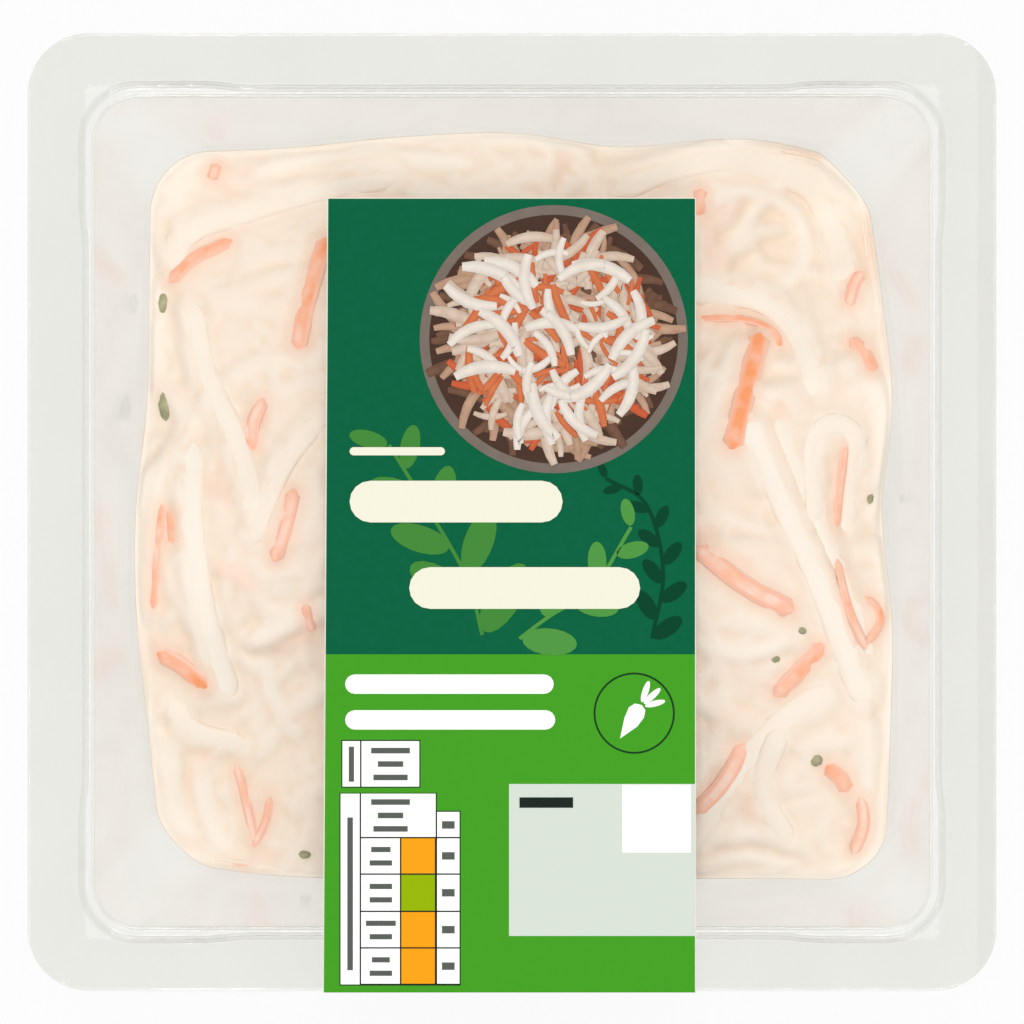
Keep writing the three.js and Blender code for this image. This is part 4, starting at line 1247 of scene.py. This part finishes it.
# The picture of a bowl: a brown stoneware rim and a dark inside, then the slaw in strips.
BOWL_X, BOWL_Y, BOWL_RADIUS, BOWL_LIP = 5.6, 23.2, 18.0, 1.3
printed("label_bowl_rim", [(disc(BOWL_X, BOWL_Y, BOWL_RADIUS, BOWL_RADIUS, 72), 1)],
        coated_paper("brown_rim_ink", "796e66", "685d55", 3.0))
printed("label_bowl_inside",
        [(disc(BOWL_X, BOWL_Y, BOWL_RADIUS - BOWL_LIP, BOWL_RADIUS - BOWL_LIP, 72), 2)],
        coated_paper("dark_bowl_ink", "3f2c23", "4a362c", 4.0))


def slaw_strips():
    """A node tree that strews short bent strips of ink over a disc, each a hair higher than the
    one before, so that they cover one another."""
    tree, given = new_node_tree("slaw_strips", [
        ("Spread", "Float"), ("Density", "Float"), ("Strip Length", "Float"),
        ("Strip Width", "Float"), ("Strip Thickness", "Float"), ("Climb", "Float"),
        ("Bow", "Float"), ("Middle", "Vector"), ("Seed", "Int"), ("Material", "Material")])
    ground = add(tree, "GeometryNodeMeshCircle", {"Vertices": 32, "fill_type": "NGON"},
                 {"Radius": given.outputs["Spread"]})
    places = add(tree, "GeometryNodeDistributePointsOnFaces", {},
                 {"Mesh": ground.outputs[0], "Density": given.outputs["Density"],
                  "Seed": given.outputs["Seed"]})
    number = add(tree, "GeometryNodeInputIndex")
    height = add(tree, "ShaderNodeMath", {"operation": "MULTIPLY"},
                 {0: number.outputs[0], 1: given.outputs["Climb"]})
    up = add(tree, "ShaderNodeCombineXYZ", links={"Z": height.outputs[0]})
    placed = add(tree, "ShaderNodeVectorMath", {"operation": "ADD"},
                 {0: up.outputs[0], 1: given.outputs["Middle"]})
    raised = add(tree, "GeometryNodeSetPosition",
                 links={"Geometry": places.outputs["Points"], "Offset": placed.outputs[0]})
    half = add(tree, "ShaderNodeMath", {"operation": "MULTIPLY", 1: 0.5},
               {0: given.outputs["Strip Length"]})
    back = add(tree, "ShaderNodeMath", {"operation": "MULTIPLY", 1: -0.5},
               {0: given.outputs["Strip Length"]})
    bow = add(tree, "ShaderNodeMath", {"operation": "MULTIPLY"},
              {0: given.outputs["Strip Length"], 1: given.outputs["Bow"]})
    first = add(tree, "ShaderNodeCombineXYZ", links={"X": back.outputs[0]})
    bent = add(tree, "ShaderNodeCombineXYZ", links={"Y": bow.outputs[0]})
    last = add(tree, "ShaderNodeCombineXYZ", links={"X": half.outputs[0]})
    line = add(tree, "GeometryNodeCurveQuadraticBezier", {"Resolution": 6},
               {"Start": first.outputs[0], "Middle": bent.outputs[0], "End": last.outputs[0]})
    section = add(tree, "GeometryNodeCurvePrimitiveQuadrilateral", {},
                  {"Width": given.outputs["Strip Width"],
                   "Height": given.outputs["Strip Thickness"]})
    along = add(tree, "GeometryNodeSplineParameter")
    left_over = add(tree, "ShaderNodeMath", {"operation": "SUBTRACT", 0: 1.0},
                    {1: along.outputs["Factor"]})
    hump = add(tree, "ShaderNodeMath", {"operation": "MULTIPLY"},
               {0: along.outputs["Factor"], 1: left_over.outputs[0]})
    taper = add(tree, "ShaderNodeMath", {"operation": "MULTIPLY_ADD", 1: 1.4, 2: 0.65},
                {0: hump.outputs[0]})
    strip = add(tree, "GeometryNodeCurveToMesh", {"Fill Caps": True},
                {"Curve": line.outputs[0], "Profile Curve": section.outputs[0],
                 "Scale": taper.outputs[0]})
    size = add(tree, "FunctionNodeRandomValue", {"data_type": "FLOAT", 2: 0.55, 3: 1.35},
               {"Seed": given.outputs["Seed"]})
    turn = add(tree, "FunctionNodeRandomValue", {"data_type": "FLOAT_VECTOR",
                                                 "Max": (0.0, 0.0, math.tau)},
               {"Seed": given.outputs["Seed"]})
    strewn = add(tree, "GeometryNodeInstanceOnPoints", {},
                 {"Points": raised.outputs[0], "Instance": strip.outputs[0],
                  "Rotation": turn.outputs[0], "Scale": size.outputs[1]})
    finish_tree(tree, strewn, given.outputs["Material"])
    return tree


STRIP_THICKNESS, STRIP_RISE, STRIP_LAYER = 0.02, 0.0002, 0.04
strip_tree = slaw_strips()
for number, (name, spread, density, length, width, bow, ink, second_ink) in enumerate([
        ("label_slaw_shade", 14.2, 3.2e5, 6.5, 1.3, 0.15, "7a5a47", "5a3f32"),
        ("label_slaw_tan", 13.9, 2.6e5, 7.0, 1.1, 0.25, "c2a088", "9c7860"),
        ("label_slaw_red", 13.2, 1.5e5, 5.2, 1.0, 0.15, "b84c30", "c66a44"),
        ("label_slaw_cream", 13.6, 1.6e5, 6.5, 1.25, 0.22, "d8c8b8", "b89c86"),
        ("label_slaw_orange", 12.2, 1.1e5, 5.0, 0.95, 0.1, "cf7c50", "bd5c3a"),
        ("label_slaw_white", 13.0, 1.0e5, 6.2, 1.35, 0.25, "e4dcd3", "d0c3b6"),
]):
    seed_mesh = mesh_object(name + "_seed", [], [], [])
    strips = grown(name, seed_mesh, strip_tree,
                   {"Spread": spread * MM, "Density": density, "Strip Length": length * MM,
                    "Strip Width": width * MM, "Strip Thickness": STRIP_THICKNESS * MM,
                    "Climb": STRIP_RISE * MM, "Bow": bow,
                    "Middle": (BOWL_X * MM, BOWL_Y * MM,
                               (LABEL_FACE + INK_STEP * 3 + STRIP_LAYER * number
                                + STRIP_THICKNESS / 2) * MM),
                    "Seed": 11 + number, "Material": coated_paper(name + "_ink", ink,
                                                                  second_ink, 1.5)})
    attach(strips, "root")
    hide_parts("label")


def leaf_sprig():
    """A node tree that sweeps a flat stem along its input line and sets oval leaves on it in
    turn to the left and the right, smaller towards the tip."""
    tree, given = new_node_tree("leaf_sprig", [
        ("Leaf Count", "Int"), ("Leaf Length", "Float"), ("Leaf Width", "Float"),
        ("Leaf Angle", "Float"), ("Stem Width", "Float"), ("Thickness", "Float"),
        ("Material", "Material")])
    line = add(tree, "GeometryNodeMeshToCurve", links={"Mesh": given.outputs["Geometry"]})
    stem = add(tree, "GeometryNodeSetCurveNormal", {"mode": "Z_UP"},
               {"Curve": line.outputs[0]})
    section = add(tree, "GeometryNodeCurvePrimitiveQuadrilateral", {},
                  {"Width": given.outputs["Stem Width"], "Height": given.outputs["Thickness"]})
    stalk = add(tree, "GeometryNodeCurveToMesh", {"Fill Caps": True},
                {"Curve": stem.outputs[0], "Profile Curve": section.outputs[0]})
    knots = add(tree, "GeometryNodeResampleCurve", {},
                {"Curve": stem.outputs[0], "Count": given.outputs["Leaf Count"]})
    blade = add(tree, "GeometryNodeMeshCylinder", {"Vertices": 18, "Radius": 0.5},
                {"Depth": given.outputs["Thickness"]})
    stretch = add(tree, "ShaderNodeCombineXYZ", {"Z": 1.0},
                  {"X": given.outputs["Leaf Length"], "Y": given.outputs["Leaf Width"]})
    half_leaf = add(tree, "ShaderNodeMath", {"operation": "MULTIPLY", 1: 0.55},
                    {0: given.outputs["Leaf Length"]})
    ahead = add(tree, "ShaderNodeCombineXYZ", {"Z": INK_STEP / 3 * MM},
                {"X": half_leaf.outputs[0]})
    leaf = add(tree, "GeometryNodeTransform", {},
               {"Geometry": blade.outputs["Mesh"], "Scale": stretch.outputs[0],
                "Translation": ahead.outputs[0]})
    tangent = add(tree, "GeometryNodeInputTangent")
    parts = add(tree, "ShaderNodeSeparateXYZ", links={"Vector": tangent.outputs[0]})
    heading = add(tree, "ShaderNodeMath", {"operation": "ARCTAN2"},
                  {0: parts.outputs["Y"], 1: parts.outputs["X"]})
    number = add(tree, "GeometryNodeInputIndex")
    odd = add(tree, "ShaderNodeMath", {"operation": "MODULO", 1: 2.0}, {0: number.outputs[0]})
    side = add(tree, "ShaderNodeMath", {"operation": "MULTIPLY_ADD", 1: 2.0, 2: -1.0},
               {0: odd.outputs[0]})
    leaning = add(tree, "ShaderNodeMath", {"operation": "MULTIPLY_ADD"},
                  {0: side.outputs[0], 1: given.outputs["Leaf Angle"], 2: heading.outputs[0]})
    turned = add(tree, "ShaderNodeCombineXYZ", links={"Z": leaning.outputs[0]})
    along = add(tree, "GeometryNodeSplineParameter")
    smaller = add(tree, "ShaderNodeMath", {"operation": "MULTIPLY_ADD", 1: -0.5, 2: 1.0},
                  {0: along.outputs["Factor"]})
    leaves = add(tree, "GeometryNodeInstanceOnPoints", {},
                 {"Points": knots.outputs[0], "Instance": leaf.outputs[0],
                  "Rotation": turned.outputs[0], "Scale": smaller.outputs[0]})
    joined = add(tree, "GeometryNodeJoinGeometry")
    tree.links.new(stalk.outputs[0], joined.inputs[0])
    tree.links.new(leaves.outputs[0], joined.inputs[0])
    flat = add(tree, "GeometryNodeSetShadeSmooth", {"Shade Smooth": False},
               {"Geometry": joined.outputs[0]})
    finish_tree(tree, flat, given.outputs["Material"])
    return tree


STEM_POINTS = 30
sprig_tree = leaf_sprig()
for name, layer, stem_line, leaves, length, width, ink in [
        ("label_sprig_back", 1, [(18.8, -17), (20.3, -8), (18, 1), (12.6, 4.5)], 11, 4.6, 2.2,
         "063f28"),
        ("label_sprig_middle", 1.4, [(-4, -16.5), (-6, -9), (-11, 0), (-16.5, 9)], 8, 10.5, 4.6,
         "3f8036"),
        ("label_sprig_front", 1.8, [(1, -17), (5, -14), (11, -10), (16, -2)], 6, 7.4, 3.6,
         "4b8d3f"),
]:
    height = LABEL_FACE + INK_STEP * (layer + 0.5)
    stem_points = [(x, y, height) for x, y in bend(stem_line, STEM_POINTS)]
    stem_edges = [(i, i + 1) for i in range(STEM_POINTS - 1)]
    stem_seed = mesh_object(name + "_seed", stem_points, [], [], edges=stem_edges)
    sprig = grown(name, stem_seed, sprig_tree,
                  {"Leaf Count": leaves, "Leaf Length": length * MM, "Leaf Width": width * MM,
                   "Leaf Angle": 0.75, "Stem Width": 0.5 * MM, "Thickness": INK_STEP * MM,
                   "Material": coated_paper(name + "_ink", ink, ink, 2.0)})
    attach(sprig, "root")
    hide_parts("label")

# Blank bars stand where a pack of this kind carries its words.
printed("label_cream_bars",
        [(bar(-21.8, 6.8, -1.4, 4.2), 4), (bar(-13.8, 17.2, -13.0, -7.4), 4),
         (bar(-21.8, -9.0, 7.6, 8.7), 4)],
        coated_paper("cream_ink", "e2e0cd", "e2e0cd", 4.0))
printed("label_white_bars",
        [(bar(-22.4, 5.6, -24.4, -21.8), 2), (bar(-22.4, 5.8, -29.2, -26.6), 2)],
        coated_paper("white_ink", "f2f4ef", "f2f4ef", 4.0))

# The round mark: a thin dark ring with a plain white carrot in it.
MARK_X, MARK_Y, MARK_RADIUS = 16.4, -27.0, 5.45
printed("label_mark_ring", [(disc(MARK_X, MARK_Y, MARK_RADIUS, MARK_RADIUS), 1)],
        coated_paper("ring_ink", "17361f", "17361f", 4.0))
printed("label_mark_field",
        [(disc(MARK_X, MARK_Y, MARK_RADIUS - 0.25, MARK_RADIUS - 0.25), 2)],
        coated_paper("mark_green_ink", "419722", "3f9420", 4.0))
carrot_root = [(MARK_X + x, MARK_Y + y) for x, y in
               ((-1.9, -3.4), (0.4, -1.8), (1.3, -0.6), (1.5, 0.4), (1.0, 1.1), (0.1, 1.3),
                (-0.7, 0.8), (-1.3, -0.6))]
carrot_leaves = [disc(MARK_X + 1.5, MARK_Y + 2.9, 1.5, 0.42, 20, 1.25),
                 disc(MARK_X + 2.4, MARK_Y + 2.3, 1.5, 0.42, 20, 0.75),
                 disc(MARK_X + 2.8, MARK_Y + 1.3, 1.4, 0.4, 20, 0.25)]
printed("label_mark_carrot", [(carrot_root, 3)] + [(leaf, 3) for leaf in carrot_leaves],
        coated_paper("mark_white_ink", "f4f6f1", "f4f6f1", 4.0))


# The inks of the small panels and of the grid of blank cells
PLATE_INKS = [("line_ink", "1c2620"), ("panel_white_ink", "f4f6f2"), ("orange_ink", "e99915"),
              ("lime_ink", "8ca903"), ("grey_ink", "555a54"), ("pale_panel_ink", "c9d1c6")]
LINE, WHITE, ORANGE, LIME, GREY, PALE = range(len(PLATE_INKS))


def printed_plates():
    """A node tree that sets a flat plate of the point's own plate_size on each point, in the ink
    whose number the point has."""
    tree, given = new_node_tree("printed_plates", [
        (f"Ink {number}", "Material") for number in range(len(PLATE_INKS))])
    size = add(tree, "GeometryNodeInputNamedAttribute",
               {"data_type": "FLOAT_VECTOR", "Name": "plate_size"})
    plate = add(tree, "GeometryNodeMeshCube", {"Size": (1.0, 1.0, 1.0)})
    laid_out = add(tree, "GeometryNodeInstanceOnPoints", {},
                   {"Points": given.outputs["Geometry"], "Instance": plate.outputs["Mesh"],
                    "Scale": size.outputs["Attribute"]})
    latest = add(tree, "GeometryNodeRealizeInstances", links={"Geometry": laid_out.outputs[0]})
    ink = add(tree, "GeometryNodeInputNamedAttribute", {"data_type": "FLOAT", "Name": "ink"})
    for number in range(len(PLATE_INKS)):
        chosen = add(tree, "FunctionNodeCompare",
                     {"data_type": "FLOAT", "operation": "EQUAL", "B": float(number),
                      "Epsilon": 0.1}, {"A": ink.outputs["Attribute"]})
        latest = add(tree, "GeometryNodeSetMaterial", {},
                     {"Geometry": latest.outputs[0], "Selection": chosen.outputs[0],
                      "Material": given.outputs[f"Ink {number}"]})
    add(tree, "NodeGroupOutput", links={"Geometry": latest.outputs[0]})
    return tree


GRID_TOP, GRID_ROWS = -37.8, (-43.7, -48.6, -53.6, -58.5, -63.4)
SIDE_CELL, WIDE_CELL = (-23.0, -20.45), (-20.25, -15.05)
COLOUR_CELL, END_CELL = (-14.85, -10.35), (-10.05, -7.05)
CELL_EDGE = 0.1
# Each plate: its ink, its left, right, low and high edges, and the layer it is printed in
plates = [
    (PALE, -0.4, print_right, -56.9, -36.5, 1), (WHITE, 14.8, 24.0, -45.7, -36.6, 2),
    (LINE, 1.0, 8.2, -39.7, -38.3, 2),
    (LINE, -22.9, -12.3, -37.0, -30.6, 1), (WHITE, -22.75, -20.4, -36.85, -30.75, 2),
    (WHITE, -20.2, -12.45, -36.85, -30.75, 2), (GREY, -21.9, -21.2, -36.2, -31.5, 3),
    (LINE, -23.15, -10.1, -63.55, -37.7, 1), (LINE, -10.15, -6.9, -63.55, -40.1, 1),
    (WHITE, *SIDE_CELL, GRID_ROWS[-1], GRID_TOP, 2),
    (WHITE, -20.25, -10.25, GRID_ROWS[0] + CELL_EDGE, GRID_TOP, 2),
    (WHITE, *END_CELL, GRID_ROWS[0] + CELL_EDGE, -40.25, 2),
    (GREY, -22.1, -21.35, -61.5, -41.0, 3), (GREY, -9.4, -7.7, -42.5, -41.5, 3),
]
for low, length in ((-32.4, 5.2), (-34.2, 3.4), (-36.0, 4.6)):
    plates.append((GREY, -16.3 - length / 2, -16.3 + length / 2, low, low + 0.75, 3))
    plates.append((GREY, -16.3 - length / 2, -16.3 + length / 2, low - 6.9, low - 6.15, 3))
for number, (high, low) in enumerate(zip(GRID_ROWS, GRID_ROWS[1:])):
    middle = (high + low) / 2
    for ink, cell in ((WHITE, WIDE_CELL), (LIME if number == 1 else ORANGE, COLOUR_CELL),
                      (WHITE, END_CELL)):
        plates.append((ink, *cell, low + CELL_EDGE, high - CELL_EDGE, 2))
    length = (2.6, 3.0, 4.0, 2.4)[number]
    plates.append((GREY, -17.6 - length / 2, -17.6 + length / 2, middle + 0.5, middle + 1.2, 3))
    plates.append((GREY, -19.1, -16.1, middle - 1.3, middle - 0.6, 3))
    plates.append((GREY, -9.4, -7.7, middle - 0.5, middle + 0.5, 3))
plate_points = [((left + right) / 2, (low + high) / 2, LABEL_FACE + INK_STEP * (layer + 0.5))
                for _, left, right, low, high, layer in plates]
plate_seed = mesh_object("plate_seed", plate_points, [], [])
plate_sizes = [(right - left, high - low, INK_STEP) for _, left, right, low, high, _ in plates]
store(plate_seed, "plate_size", np.array(plate_sizes) * MM)
store(plate_seed, "ink", [plate[0] for plate in plates])
panels = grown("label_panels", plate_seed, printed_plates(),
               {f"Ink {number}": coated_paper(name, ink, ink, 4.0)
                for number, (name, ink) in enumerate(PLATE_INKS)})
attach(panels, "root")
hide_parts("label")
